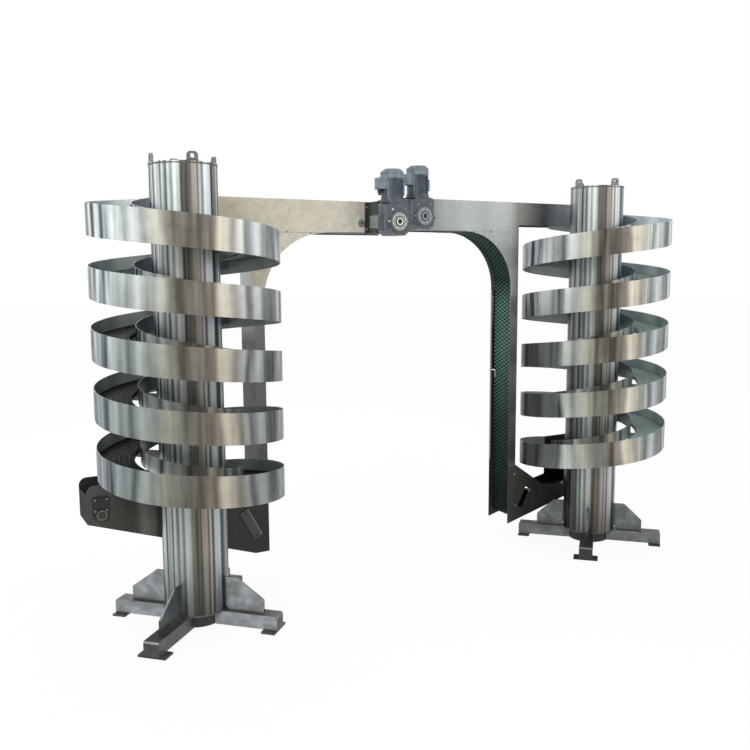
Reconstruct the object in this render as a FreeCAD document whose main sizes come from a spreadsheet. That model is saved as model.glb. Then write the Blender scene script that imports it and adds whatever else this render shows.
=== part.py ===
import FreeCAD, Part
import math
import os
import Sketcher

# Twin-tower spiral conveyor with an overhead bridge, in millimetres.
# Two round columns on four-legged bases each carry a chain track that winds round the column five
# times between an outer and an inner guard. A box bridge joins the rear of both spirals at the top,
# and a narrow leg under each end of the bridge brings the chain back down to the lower end of its
# spiral. Two upright gear motors at the middle of the bridge drive the two chains.
# +X runs along the bridge from the left tower to the right one, +Y is the side of the bridge, and
# the origin is on the floor midway between the towers.
# Heights along a spiral are measured on the top edge of its outer guard. Distances named along or
# across on a tower are measured from its axis, along towards the middle of the bridge.

doc = FreeCAD.newDocument("spiral_conveyor")
sheet = doc.addObject("Spreadsheet::Sheet", "Size")

DIMENSIONS = (
    ("tower_spacing", 2658, "distance between the two column axes"),
    ("column_diameter", 325, "outside diameter of each column tube"),
    ("column_wall", 5, "wall of the column tube"),
    ("column_height", 2285, "top of the column cap above the floor"),
    ("cap_thickness", 8, "plate that closes the top of the column"),
    ("lug_width", 54, "width of a lifting lug"),
    ("lug_height", 43, "height of a lifting lug above the cap"),
    ("lug_thickness", 10, "thickness of a lifting lug"),
    ("lug_hole", 22, "diameter of the hole in a lifting lug"),
    ("lug_rounding", 18, "radius of the upper corners of a lifting lug"),
    ("lug_eye_drop", 20, "centre of a lifting lug's hole below its top"),
    ("lug_radius", 148, "distance of a lifting lug from the column axis"),
    ("foot_thickness", 10, "thickness of a foot plate"),
    ("foot_length", 72, "size of a foot plate along its leg"),
    ("foot_width", 145, "size of a foot plate across its leg"),
    ("leg_length", 453, "end of each base leg from the column axis"),
    ("leg_width", 80, "width of a base leg"),
    ("leg_height", 70, "height of a base leg"),
    ("leg_rounding", 12, "radius of the upper outer edge of a base leg"),
    ("hub_diameter", 250, "diameter of the hub under the column"),
    ("hub_clearance", 12, "gap from the floor to the hub"),
    ("leg_overlap", 20, "base leg starts this far inside the hub's edge, before it is cut to the hub"),
    ("left_gusset_setback", 83, "outer end of a left tower's gusset from the end of its leg"),
    ("right_gusset_setback", 118, "outer end of a right tower's gusset from the end of its leg"),
    ("gusset_top_reach", 226, "end of the gusset's level top edge from the column axis"),
    ("gusset_height", 168, "height of a gusset above the leg"),
    ("gusset_toe", 66, "height of a gusset at its outer end"),
    ("gusset_snipe", 20, "corner taken off a gusset over the weld"),
    ("gusset_thickness", 10, "thickness of a gusset"),
    ("guard_radius", 456, "outside radius of the outer guard"),
    ("guard_height", 150, "height of the outer guard"),
    ("guard_sheet", 3, "sheet of the guards and side plates"),
    ("track_width", 206, "outer face of the outer guard to the inner guard's face"),
    ("inner_guard_height", 84, "height of the inner guard"),
    ("chain_depth", 65, "top of the guard down to the chain's surface"),
    ("chain_thickness", 16, "thickness of the chain"),
    ("chain_width", 168, "width of the chain"),
    ("chain_gap", 3, "gap between the chain and the outer guard"),
    ("deck_margin", 4, "inner edge of the deck from the chain's inner edge"),
    ("deck_sheet", 3, "sheet of the deck under the chain"),
    ("deck_gap", 0.3, "gap between the chain and the sloping deck at the lower end"),
    ("arm_height", 40, "height of a support arm under the deck"),
    ("arm_thickness", 8, "thickness of a support arm"),
    ("arm_root", 2, "support arm sunk into the column's wall at its weld"),
    ("left_top", 2162, "top edge of the left half of the bridge and of its spiral"),
    ("right_top", 2194, "top edge of the right half of the bridge and of its spiral"),
    ("left_bottom", 1982, "bottom edge of the left half of the bridge"),
    ("right_bottom", 2007, "bottom edge of the right half of the bridge"),
    ("link_height", 141, "height of the side plates between leg and tower"),
    ("left_arch_radius", 372, "radius of the corner between bridge and left leg"),
    ("right_arch_radius", 350, "radius of the corner between bridge and right leg"),
    ("left_leg_start", 440, "side of the left return leg that faces its tower"),
    ("right_leg_start", 422, "side of the right return leg that faces its tower"),
    ("return_width", 58, "width of a return leg"),
    ("leg_joint", 1600, "height of the joint between bridge plates and leg plates"),
    ("left_end_top", 705, "top edge of the left spiral at its lower end"),
    ("right_end_top", 608, "top edge of the right spiral at its lower end"),
    ("end_reach", 477, "end of the lower plates beyond the tower axis"),
    ("end_rounding", 40, "radius of the upper outer corner of the lower plates"),
    ("end_plate_drop", 48, "top of the plate between their ends below the end of the guard"),
    ("left_tip_height", 208, "bottom of the left return leg above the floor"),
    ("right_tip_height", 106, "bottom of the right return leg above the floor"),
    ("left_tip_start", 415, "start of the level bottom edge of the left return leg"),
    ("right_tip_start", 472, "start of the level bottom edge of the right return leg"),
    ("left_slope_end", 508, "height of the left bottom edge at its outer end"),
    ("right_slope_end", 344, "height of the right bottom edge at its outer end"),
    ("flare_top", 111, "leg plates end this far below the end of the guard"),
    ("flare_reach", 190, "foot of the flare from the tower axis"),
    ("flare_bottom", 271, "foot of the flare below the end of the guard"),
    ("notch_reach", 89, "lowest point of the notch from the tower axis"),
    ("notch_bottom", 285, "lowest point of the notch below the end of the guard"),
    ("notch_side", 266, "foot of the notch's upright side below the end of the guard"),
    ("sprocket_radius", 49, "radius of the chain's middle line on a sprocket"),
    ("chain_inset", 9, "chain's middle line above the bottom edges that it follows"),
    ("chain_recess", 38, "middle line of the chain in a return leg from the leg's edge"),
    ("arch_gap", 27, "radius of the chain's middle line in a corner beyond the corner's own"),
    ("tip_bend", 50, "radius of the chain's middle line at the foot of a leg"),
    ("end_shaft_reach", 410, "lower sprocket's axis beyond the tower axis"),
    ("end_shaft_drop", 149, "lower sprocket's axis below the end of the guard"),
    ("drive_offset", 120, "each drive's axis from the middle of the bridge"),
    ("left_drive_height", 2041, "height of the left drive's axis"),
    ("right_drive_height", 2083, "height of the right drive's axis"),
    ("shaft_diameter", 30, "diameter of the sprocket shafts"),
    ("bearing_width", 74, "width of a lower bearing block"),
    ("bearing_height", 110, "height of a lower bearing block"),
    ("bearing_rise", 32, "bearing block's centre above its shaft"),
    ("bearing_thickness", 14, "thickness of a lower bearing block"),
    ("boss_diameter", 46, "diameter of the boss on a lower bearing"),
    ("boss_length", 16, "length of the boss on a lower bearing"),
    ("left_idler_offset", 231, "left bridge idler bearing from the middle of the bridge"),
    ("right_idler_offset", 260, "right bridge idler bearing from the middle of the bridge"),
    ("idler_diameter", 40, "diameter of a bridge idler bearing"),
    ("idler_length", 8, "length of a bridge idler bearing"),
    ("slot_lean", 62, "lean of the adjusting slots from the level, in degrees"),
    ("slot_length", 150, "length of the right adjusting slot"),
    ("slot_width", 38, "width of the right adjusting slot"),
    ("slot_corner", 12, "radius of the corners of the right adjusting slot"),
    ("slot_distance", 345, "centre of the right adjusting slot from the tower axis"),
    ("slot_drop", 338, "centre of the right adjusting slot below the end of the guard"),
    ("bar_length", 180, "length of the bar over the left adjusting slot"),
    ("bar_width", 52, "width of the bar over the left adjusting slot"),
    ("bar_thickness", 6, "thickness of the bar over the left adjusting slot"),
    ("bar_distance", 390, "centre of the slot's bar from the tower axis"),
    ("bar_drop", 325, "centre of the slot's bar below the end of the guard"),
    ("tension_diameter", 26, "diameter of the tension shaft in the right adjusting slot"),
    ("tension_rise", 55, "tension shaft up along the slot from the slot's centre"),
    ("tension_end", 22, "end of the tension shaft in front of the front plate"),
    ("gearbox_width", 134, "width of a gearbox"),
    ("gearbox_depth", 119, "depth of a gearbox"),
    ("gearbox_below", 76, "gearbox below its output axis"),
    ("gearbox_above", 105, "gearbox above its output axis"),
    ("gearbox_corner", 26, "corner cut of a gearbox"),
    ("flange_diameter", 97, "diameter of the output flange"),
    ("flange_thickness", 9, "thickness of the output flange"),
    ("flange_bore", 34, "bore of the output flange"),
    ("motor_shift", 10, "motor's axis to the left of the output axis"),
    ("mount_diameter", 134, "diameter of the flange under a motor"),
    ("mount_thickness", 15, "thickness of the flange under a motor"),
    ("motor_diameter", 118, "diameter of a motor housing"),
    ("motor_length", 117, "length of a motor housing"),
    ("cowl_diameter", 128, "diameter of a fan cowl"),
    ("cowl_height", 50, "height of a fan cowl"),
    ("cowl_chamfer", 14, "chamfer of the fan cowl's upper edge"),
    ("terminal_reach", 30, "terminal box beyond the motor housing"),
    ("terminal_width", 72, "width of a terminal box"),
    ("terminal_height", 63, "height of a terminal box"),
    ("terminal_rise", 177, "terminal box above the output axis"),
    ("bracket_width", 140, "width of the stand-off bracket"),
    ("bracket_plate", 8, "plate of the stand-off bracket"),
    ("bracket_lip", 18, "lip of the stand-off bracket on the bridge plate"),
    ("bracket_below", 58, "bracket below the output axis"),
    ("bracket_above", 117, "bracket above the output axis"),
)

for row, (alias, number, meaning) in enumerate(DIMENSIONS, start=1):
    sheet.set(f"A{row}", meaning)
    sheet.set(f"B{row}", str(number))
    sheet.setAlias(f"B{row}", alias)
doc.recompute()

X_AXIS = FreeCAD.Vector(1, 0, 0)
Z_AXIS = FreeCAD.Vector(0, 0, 1)
TURNS = 5
LINKS_PER_TURN = 48
INNER_STRIPS = 4
# An edge belongs to a wanted corner when it is nearer to it than this.
NEAR = 1
# Lead-in of the chain's straight runs: radii before a sprocket, and before a corner.
SPROCKET_LEAD = 3
CORNER_LEAD = 1.3
DIAGONALS = (45, 135, 225, 315)
SQUARES = (0, 90, 180, 270)
LEFT = -1
RIGHT = 1
SIDE_NAMES = {LEFT: "left", RIGHT: "right"}
GUARD_FACE = "(Size.guard_radius - Size.guard_sheet)"
TRACK_RADIUS = "(Size.guard_radius - Size.track_width)"
FRONT_FACE = f"({TRACK_RADIUS} - Size.guard_sheet)"
CHAIN_OUTER = f"({GUARD_FACE} - Size.chain_gap)"
CHAIN_INNER = f"({CHAIN_OUTER} - Size.chain_width)"
DECK_INNER = f"({CHAIN_INNER} - Size.deck_margin)"
PLATE_BACKS = (("front", TRACK_RADIUS), ("back", "Size.guard_radius"))
nodes = []


def value(expression):
    """Number that an expression on the sheet's cells gives now."""
    result = sheet.evalExpression(expression)
    return float(getattr(result, "Value", result))


def node(item, label):
    """Take a finished object as the sub-part with this name."""
    item.Label = label
    nodes.append(item)
    return item


def group(label, items):
    """One sub-part of several like pieces that don't touch."""
    compound = doc.addObject("Part::Compound", label)
    compound.Links = items
    return node(compound, label)


def place(item, x, y, z, rotation=None):
    """Bind an object's place to expressions, after its turn is set."""
    if rotation is not None:
        item.Placement = FreeCAD.Placement(FreeCAD.Vector(), rotation)
    for axis, expression in (("x", x), ("y", y), ("z", z)):
        item.setExpression(f"Placement.Base.{axis}", expression)
    return item


def bind(item, **expressions):
    """Bind properties of an object to expressions."""
    for name, expression in expressions.items():
        item.setExpression(name, expression)
    return item


def box(name, size, corner, angle=0):
    """Box of a size at a corner, turned about the vertical."""
    item = doc.addObject("Part::Box", name)
    bind(item, Length=size[0], Width=size[1], Height=size[2])
    return place(item, *corner, FreeCAD.Rotation(Z_AXIS, angle))


def upright(name, diameter, height, base):
    """Vertical cylinder that stands on a point."""
    item = doc.addObject("Part::Cylinder", name)
    bind(item, Radius=f"({diameter}) / 2", Height=height)
    return place(item, *base)


def level(name, diameter, length, start):
    """Cylinder that runs along +Y from a point."""
    item = doc.addObject("Part::Cylinder", name)
    bind(item, Radius=f"({diameter}) / 2", Height=length)
    return place(item, *start, FreeCAD.Rotation(X_AXIS, -90))


def polar(angle, along, across="0"):
    """Expressions for x and y of a point given along and across a direction."""
    cosine = f"({math.cos(math.radians(angle)):.9f})"
    sine = f"({math.sin(math.radians(angle)):.9f})"
    return (
        f"{cosine} * ({along}) - {sine} * ({across})",
        f"{sine} * ({along}) + {cosine} * ({across})",
    )


def tower(side):
    """Expression for the x of a tower's axis."""
    return f"({side}) * Size.tower_spacing / 2"


def at(side, along):
    """Expression for the x of a point that lies along from a tower's axis to the middle."""
    return f"({side}) * (Size.tower_spacing / 2 - ({along}))"


def end_top(side):
    """Expression for the top of a spiral's guard at its lower end."""
    return f"Size.{SIDE_NAMES[side]}_end_top"


def spiral_top(side):
    """Expression for the top of a spiral's guard at its upper end."""
    return f"Size.{SIDE_NAMES[side]}_top"


def leg_start(side):
    """Expression for the side of a return leg that faces its tower."""
    return f"Size.{SIDE_NAMES[side]}_leg_start"


def leg_end(side):
    """Expression for the side of a return leg that faces the middle of the bridge."""
    return f"({leg_start(side)} + Size.return_width)"


def bridge_bottom(side):
    """Expression for the bottom edge of a half of the bridge."""
    return f"Size.{SIDE_NAMES[side]}_bottom"


def pitch(side):
    """Expression for the rise of a spiral in one turn."""
    return f"({spiral_top(side)} - {end_top(side)}) / {TURNS}"


def plane(body, role):
    """One of a body's own origin planes or axes."""
    return next(item for item in body.Origin.OriginFeatures if item.Role == role)


def new_sketch(body, name, role):
    """Empty sketch on one of the body's own planes."""
    sketch = body.newObject("Sketcher::SketchObject", name)
    sketch.AttachmentSupport = [(plane(body, role), "")]
    sketch.MapMode = "FlatFace"
    return sketch


def draw_outline(sketch, corners):
    """Closed outline through corners, each a pair of expressions that binds it."""
    points = [FreeCAD.Vector(value(x), value(y), 0) for x, y in corners]
    first = len(sketch.Geometry)
    count = len(points)
    for index in range(count):
        line = Part.LineSegment(points[index], points[(index + 1) % count])
        sketch.addGeometry(line, False)
    for index in range(count):
        following = first + (index + 1) % count
        sketch.addConstraint(Sketcher.Constraint("Coincident", first + index, 2, following, 1))
    for index, (x, y) in enumerate(corners):
        for kind, expression in (("DistanceX", x), ("DistanceY", y)):
            constraint = Sketcher.Constraint(kind, -1, 1, first + index, 1, value(expression))
            number = sketch.addConstraint(constraint)
            sketch.setExpression(f"Constraints[{number}]", expression)


def draw_circle(sketch, x, y, diameter):
    """Circle whose centre and diameter are expressions."""
    centre = FreeCAD.Vector(value(x), value(y), 0)
    circle = sketch.addGeometry(Part.Circle(centre, Z_AXIS, value(diameter) / 2), False)
    for kind, expression in (("DistanceX", x), ("DistanceY", y)):
        number = sketch.addConstraint(Sketcher.Constraint(kind, -1, 1, circle, 3, value(expression)))
        sketch.setExpression(f"Constraints[{number}]", expression)
    number = sketch.addConstraint(Sketcher.Constraint("Diameter", circle, value(diameter)))
    sketch.setExpression(f"Constraints[{number}]", diameter)


def pad(body, sketch, length, reverse=False):
    """Pad of a sketch, along its normal or against it."""
    feature = body.newObject("PartDesign::Pad", sketch.Name + "_pad")
    feature.Profile = (sketch, [""])
    feature.Length = value(length)
    feature.setExpression("Length", length)
    feature.Reversed = reverse
    return feature


def plate(name, corners, thickness, circles=(), windows=()):
    """Upright plate drawn in XZ that is thick from y = 0 towards -Y."""
    body = doc.addObject("PartDesign::Body", name)
    sketch = new_sketch(body, name + "_outline", "XZ_Plane")
    draw_outline(sketch, corners)
    for window in windows:
        draw_outline(sketch, window)
    for circle in circles:
        draw_circle(sketch, *circle)
    pad(body, sketch, thickness)
    doc.recompute()
    return body


def round_edges(body, name, radius, wanted):
    """Round every edge of a body's tip whose middle passes the test."""
    doc.recompute()
    base = body.Tip
    edges = []
    for number, edge in enumerate(base.Shape.Edges, start=1):
        middle = edge.valueAt((edge.FirstParameter + edge.LastParameter) / 2)
        if wanted(middle, edge):
            edges.append(f"Edge{number}")
    fillet = body.newObject("PartDesign::Fillet", name)
    fillet.Base = (base, edges)
    fillet.setExpression("Radius", radius)
    doc.recompute()
    return fillet


def tube(name, outer, inner, height, base):
    """Vertical tube or bored disc."""
    body = doc.addObject("PartDesign::Body", name)
    sketch = new_sketch(body, name + "_ring", "XY_Plane")
    draw_circle(sketch, "0", "0", outer)
    draw_circle(sketch, "0", "0", inner)
    pad(body, sketch, height)
    return place(body, *base)


def spiral_band(label, side, inner, outer, top, bottom, start, turns):
    """Band that winds round a tower, from a number of turns above the lower end.

    inner and outer are radii. top and bottom are depths below the top edge of the guard.
    """
    body = doc.addObject("PartDesign::Body", label)
    section = new_sketch(body, label + "_section", "XZ_Plane")
    draw_outline(
        section,
        (
            (inner, f"-({top})"),
            (outer, f"-({top})"),
            (outer, f"-({bottom})"),
            (inner, f"-({bottom})"),
        ),
    )
    doc.recompute()
    winding = body.newObject("PartDesign::AdditiveHelix", label + "_winding")
    winding.Profile = (section, [""])
    winding.ReferenceAxis = (plane(body, "Z_Axis"), [""])
    winding.Mode = "pitch-turns-angle"
    winding.LeftHanded = side == LEFT
    winding.Turns = turns
    winding.Pitch = value(pitch(side))
    winding.setExpression("Pitch", pitch(side))
    quarter_turns = start * 360 if side == RIGHT else -start * 360
    place(
        body,
        tower(side),
        "0",
        f"{end_top(side)} + {start} * {pitch(side)}",
        FreeCAD.Rotation(Z_AXIS, 90 + quarter_turns),
    )
    return node(body, label)


def flat_strip(label, side, inner, outer, top, bottom, start, turns):
    """Strip of flat links that winds round a tower, from a number of turns above the lower end.

    inner and outer are radii. top and bottom are depths below the top edge of the guard.
    """
    inner, outer, top, bottom = (value(expression) for expression in (inner, outer, top, bottom))
    rise = value(pitch(side))
    base = FreeCAD.Vector(value(tower(side)), 0, value(end_top(side)))
    sections = []
    for index in range(round(turns * LINKS_PER_TURN) + 1):
        turn = start + index / LINKS_PER_TURN
        angle = math.radians(90 + side * 360 * turn)
        outward = FreeCAD.Vector(math.cos(angle), math.sin(angle), 0)
        level_here = base + Z_AXIS * (turn * rise)
        sections.append(
            [
                level_here + outward * radius - Z_AXIS * depth
                for radius, depth in ((inner, top), (outer, top), (outer, bottom), (inner, bottom))
            ]
        )
    faces = [flat_face(sections[0]), flat_face(sections[-1])]
    for near, far in zip(sections, sections[1:]):
        for low_radius, high_radius in ((0, 1), (3, 2)):
            faces.append(flat_face((near[low_radius], near[high_radius], far[high_radius])))
            faces.append(flat_face((near[low_radius], far[high_radius], far[low_radius])))
        for upper, lower in ((1, 2), (0, 3)):
            faces.append(flat_face((near[upper], near[lower], far[lower], far[upper])))
    solid = Part.makeSolid(Part.makeShell(faces))
    if solid.Volume < 0:
        solid.reverse()
    strip = doc.addObject("Part::Feature", label)
    strip.Shape = solid
    return node(strip, label)


def flat_face(points):
    """Flat face through points."""
    return Part.Face(Part.makePolygon([*points, points[0]]))


def columns():
    """Column tube of each tower and the plates that close them."""
    caps = []
    for side in (LEFT, RIGHT):
        name = SIDE_NAMES[side]
        foot = "Size.foot_thickness + Size.leg_height"
        shell = tube(
            f"column_{name}",
            "Size.column_diameter",
            "Size.column_diameter - 2 * Size.column_wall",
            f"Size.column_height - Size.cap_thickness - ({foot})",
            (tower(side), "0", foot),
        )
        node(shell, f"column_{name}")
        top = (tower(side), "0", "Size.column_height - Size.cap_thickness")
        caps.append(upright(f"cap_{name}", "Size.column_diameter", "Size.cap_thickness", top))
    group("column_caps", caps)


def lifting_lugs():
    """Four bored lugs with rounded tops on each column cap."""
    lugs = []
    for side in (LEFT, RIGHT):
        for angle in SQUARES:
            name = f"lug_{SIDE_NAMES[side]}_{angle}"
            half = "Size.lug_width / 2"
            corners = (
                (f"-{half}", "0"),
                (half, "0"),
                (half, "Size.lug_height"),
                (f"-{half}", "Size.lug_height"),
            )
            eye = ("0", "Size.lug_height - Size.lug_eye_drop", "Size.lug_hole")
            lug = plate(name, corners, "Size.lug_thickness", (eye,))
            round_edges(
                lug,
                name + "_rounding",
                "Size.lug_rounding",
                lambda middle, edge: middle.z > value("Size.lug_height") - NEAR and abs(middle.x) > NEAR,
            )
            x, y = polar(angle, "Size.lug_radius")
            facing = FreeCAD.Rotation(Z_AXIS, angle + 90)
            lugs.append(place(lug, f"{tower(side)} + {x}", y, "Size.column_height", facing))
    group("lifting_lugs", lugs)


def base_frames():
    """Hub, four box legs, gussets and foot plates under each column."""
    hubs = []
    legs = []
    gussets = []
    feet = []
    top = "Size.foot_thickness + Size.leg_height"
    for side in (LEFT, RIGHT):
        name = SIDE_NAMES[side]
        hub_base = (tower(side), "0", "Size.hub_clearance")
        hubs.append(upright(f"hub_{name}", "Size.hub_diameter", f"{top} - Size.hub_clearance", hub_base))
        for angle in DIAGONALS:
            legs.append(base_leg(f"leg_{name}_{angle}", side, angle))
            gussets.append(base_gusset(f"gusset_{name}_{angle}", side, angle, top))
            x, y = polar(angle, "Size.leg_length - Size.foot_length", "-Size.foot_width / 2")
            size = ("Size.foot_length", "Size.foot_width", "Size.foot_thickness")
            feet.append(box(f"foot_{name}_{angle}", size, (f"{tower(side)} + {x}", y, "0"), angle))
    group("base_hubs", hubs)
    group("base_legs", legs)
    group("base_gussets", gussets)
    group("foot_plates", feet)


def base_leg(name, side, angle):
    """Box leg from the hub outwards, with a rounded upper end."""
    body = doc.addObject("PartDesign::Body", name)
    sketch = new_sketch(body, name + "_plan", "XY_Plane")
    half = "Size.leg_width / 2"
    root = "Size.hub_diameter / 2 - Size.leg_overlap"
    corners = (
        (root, f"-{half}"),
        ("Size.leg_length", f"-{half}"),
        ("Size.leg_length", half),
        (root, half),
    )
    draw_outline(sketch, corners)
    pad(body, sketch, "Size.leg_height")
    doc.recompute()
    before = body.Shape.Volume
    bore = new_sketch(body, name + "_hub", "XY_Plane")
    draw_circle(bore, "0", "0", "Size.hub_diameter")
    doc.recompute()
    cut = body.newObject("PartDesign::Pocket", name + "_cut")
    cut.Profile = (bore, [""])
    cut.Type = 1
    cut.Reversed = True
    doc.recompute()
    if body.Shape.Volume >= before:
        raise RuntimeError(f"{name}: the hub's pocket cuts nothing")
    round_edges(
        body,
        name + "_rounding",
        "Size.leg_rounding",
        lambda middle, edge: middle.x > value("Size.leg_length") - NEAR
        and middle.z > value("Size.leg_height") - NEAR,
    )
    return place(body, tower(side), "0", "Size.foot_thickness", FreeCAD.Rotation(Z_AXIS, angle))


def base_gusset(name, side, angle, top):
    """Gusset between the column and a leg."""
    column = "Size.column_diameter / 2"
    outer = f"Size.leg_length - Size.{SIDE_NAMES[side]}_gusset_setback"
    corners = (
        (column, "Size.gusset_snipe"),
        (f"{column} + Size.gusset_snipe", "0"),
        (outer, "0"),
        (outer, "Size.gusset_toe"),
        ("Size.gusset_top_reach", "Size.gusset_height"),
        (column, "Size.gusset_height"),
    )
    body = plate(name, corners, "Size.gusset_thickness")
    x, y = polar(angle, "0", "Size.gusset_thickness / 2")
    return place(body, f"{tower(side)} + {x}", y, top, FreeCAD.Rotation(Z_AXIS, angle))


def spirals():
    """Guards, deck and support arms of both spirals."""
    sheet_depth = "Size.chain_depth + Size.chain_thickness"
    for side in (LEFT, RIGHT):
        name = SIDE_NAMES[side]
        for turn in range(TURNS):
            spiral_band(
                f"outer_guard_{name}_{turn + 1}",
                side,
                GUARD_FACE,
                "Size.guard_radius",
                "0",
                "Size.guard_height",
                turn,
                1,
            )
        for strip in range(INNER_STRIPS):
            spiral_band(
                f"inner_guard_{name}_{strip + 1}",
                side,
                FRONT_FACE,
                TRACK_RADIUS,
                "0",
                "Size.inner_guard_height",
                strip * TURNS / INNER_STRIPS,
                TURNS / INNER_STRIPS,
            )
        for place_name, start in (("lower", 0), ("upper", TURNS / 2)):
            flat_strip(
                f"track_deck_{name}_{place_name}",
                side,
                DECK_INNER,
                GUARD_FACE,
                sheet_depth,
                f"{sheet_depth} + Size.deck_sheet",
                start,
                TURNS / 2,
            )
        support_arms(side)


def support_arms(side):
    """Flat bars on edge from the column out to the outer guard, four in each turn."""
    arms = []
    name = SIDE_NAMES[side]
    under = "Size.chain_depth + Size.chain_thickness + Size.deck_sheet + Size.arm_height"
    root = "Size.column_diameter / 2 - Size.arm_root"
    size = (f"{GUARD_FACE} - ({root})", "Size.arm_thickness", "Size.arm_height")
    for turn in range(TURNS):
        for angle in DIAGONALS:
            swept = (angle - 90) % 360 if side == RIGHT else (90 - angle) % 360
            rise = f"{turn + swept / 360} * {pitch(side)}"
            x, y = polar(angle, root, "-Size.arm_thickness / 2")
            corner = (f"{tower(side)} + {x}", y, f"{end_top(side)} + {rise} - ({under})")
            arms.append(box(f"arm_{name}_{turn}_{angle}", size, corner, angle))
    group(f"support_arms_{name}", arms)


def bridge():
    """Front and back plates of each half of the bridge, with a rounded corner over the leg."""
    for side in (LEFT, RIGHT):
        name = SIDE_NAMES[side]
        top = spiral_top(side)
        bottom = bridge_bottom(side)
        link = f"{top} - Size.link_height"
        outline = (
            (tower(side), top),
            (tower(side), link),
            (at(side, leg_start(side)), link),
            (at(side, leg_start(side)), "Size.leg_joint"),
            (at(side, leg_end(side)), "Size.leg_joint"),
            (at(side, leg_end(side)), bottom),
            ("0", bottom),
            ("0", top),
        )
        pair = []
        for where, across in PLATE_BACKS:
            body = plate(f"bridge_{name}_{where}", outline, "Size.guard_sheet")
            round_edges(
                body,
                f"bridge_{name}_{where}_corner",
                f"Size.{name}_arch_radius",
                lambda middle, edge: abs(middle.z - value(bottom)) < NEAR
                and abs(middle.x) > value("Size.drive_offset")
                and edge.Length < value("Size.guard_sheet") + NEAR,
            )
            pair.append(place(body, "0", across, "0"))
        group(f"bridge_plates_{name}", pair)


def lower_outline(side):
    """Outline of the plates that carry the chain's end and lead it back to the leg."""
    name = SIDE_NAMES[side]
    top = end_top(side)
    tip = f"Size.{name}_tip_height"
    return (
        (at(side, "-Size.end_reach"), top),
        (at(side, "0"), top),
        (at(side, "0"), f"{top} - Size.notch_side"),
        (at(side, "Size.notch_reach"), f"{top} - Size.notch_bottom"),
        (at(side, "Size.flare_reach"), f"{top} - Size.flare_bottom"),
        (at(side, leg_start(side)), f"{top} - Size.flare_top"),
        (at(side, leg_end(side)), f"{top} - Size.flare_top"),
        (at(side, leg_end(side)), tip),
        (at(side, f"Size.{name}_tip_start"), tip),
        (at(side, "-Size.end_reach"), f"Size.{name}_slope_end"),
    )


def leaning(side, distance, height, length, width):
    """Corners of a rectangle that leans up towards a tower, about a centre."""
    corners = []
    for up, out in ((-1, -1), (1, -1), (1, 1), (-1, 1)):
        long = f"({up}) * {length} / 2"
        wide = f"({out}) * {width} / 2"
        along = f"{distance} - {long} * cos(Size.slot_lean) + {wide} * sin(Size.slot_lean)"
        rise = f"{height} + {long} * sin(Size.slot_lean) + {wide} * cos(Size.slot_lean)"
        corners.append((at(side, along), rise))
    return corners


def lower_plates():
    """Plates at the lower end of each spiral, joined at their ends, with a slot in the right front one."""
    end_plates = []
    slot_height = f"{end_top(RIGHT)} - Size.slot_drop"
    slot = leaning(RIGHT, "Size.slot_distance", slot_height, "Size.slot_length", "Size.slot_width")
    for side in (LEFT, RIGHT):
        name = SIDE_NAMES[side]
        pair = []
        for where, across in PLATE_BACKS:
            slotted = side == RIGHT and where == "front"
            body = plate(
                f"lower_{name}_{where}",
                lower_outline(side),
                "Size.guard_sheet",
                windows=[slot] if slotted else [],
            )
            corner = (value(at(side, "-Size.end_reach")), value(end_top(side)))
            round_edges(
                body,
                f"lower_{name}_{where}_rounding",
                "Size.end_rounding",
                lambda middle, edge: math.dist((middle.x, middle.z), corner) < NEAR,
            )
            if slotted:
                ends = [(value(x), value(z)) for x, z in slot]
                round_edges(
                    body,
                    "slot_corners",
                    "Size.slot_corner",
                    lambda middle, edge: any(math.dist((middle.x, middle.z), end) < NEAR for end in ends),
                )
            pair.append(place(body, "0", across, "0"))
        group(f"lower_plates_{name}", pair)
        end_low = at(side, "-Size.end_reach" if side == LEFT else "-Size.end_reach + Size.guard_sheet")
        foot = f"Size.{name}_slope_end"
        end_size = (
            "Size.guard_sheet",
            f"{GUARD_FACE} - {TRACK_RADIUS}",
            f"{end_top(side)} - Size.end_plate_drop - {foot}",
        )
        end_plates.append(box(f"end_plate_{name}", end_size, (end_low, TRACK_RADIUS, foot)))
    group("end_plates", end_plates)


def legs_of_bridge():
    """Side plates and tower-side web of each return leg."""
    plates = []
    webs = []
    channel = f"{GUARD_FACE} - {TRACK_RADIUS}"
    for side in (LEFT, RIGHT):
        name = SIDE_NAMES[side]
        low = at(side, leg_start(side) if side == LEFT else leg_end(side))
        foot = f"{end_top(side)} - Size.flare_top"
        size = ("Size.return_width", "Size.guard_sheet", f"Size.leg_joint - ({foot})")
        for where, across in PLATE_BACKS:
            corner = (low, f"{across} - Size.guard_sheet", foot)
            plates.append(box(f"leg_plate_{name}_{where}", size, corner))
        web_start = leg_start(side)
        web_low = at(side, web_start if side == LEFT else f"{web_start} + Size.guard_sheet")
        web_size = ("Size.guard_sheet", channel, f"{spiral_top(side)} - Size.link_height - ({foot})")
        webs.append(box(f"leg_web_{name}", web_size, (web_low, TRACK_RADIUS, foot)))
    group("leg_plates", plates)
    group("leg_webs", webs)


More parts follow.
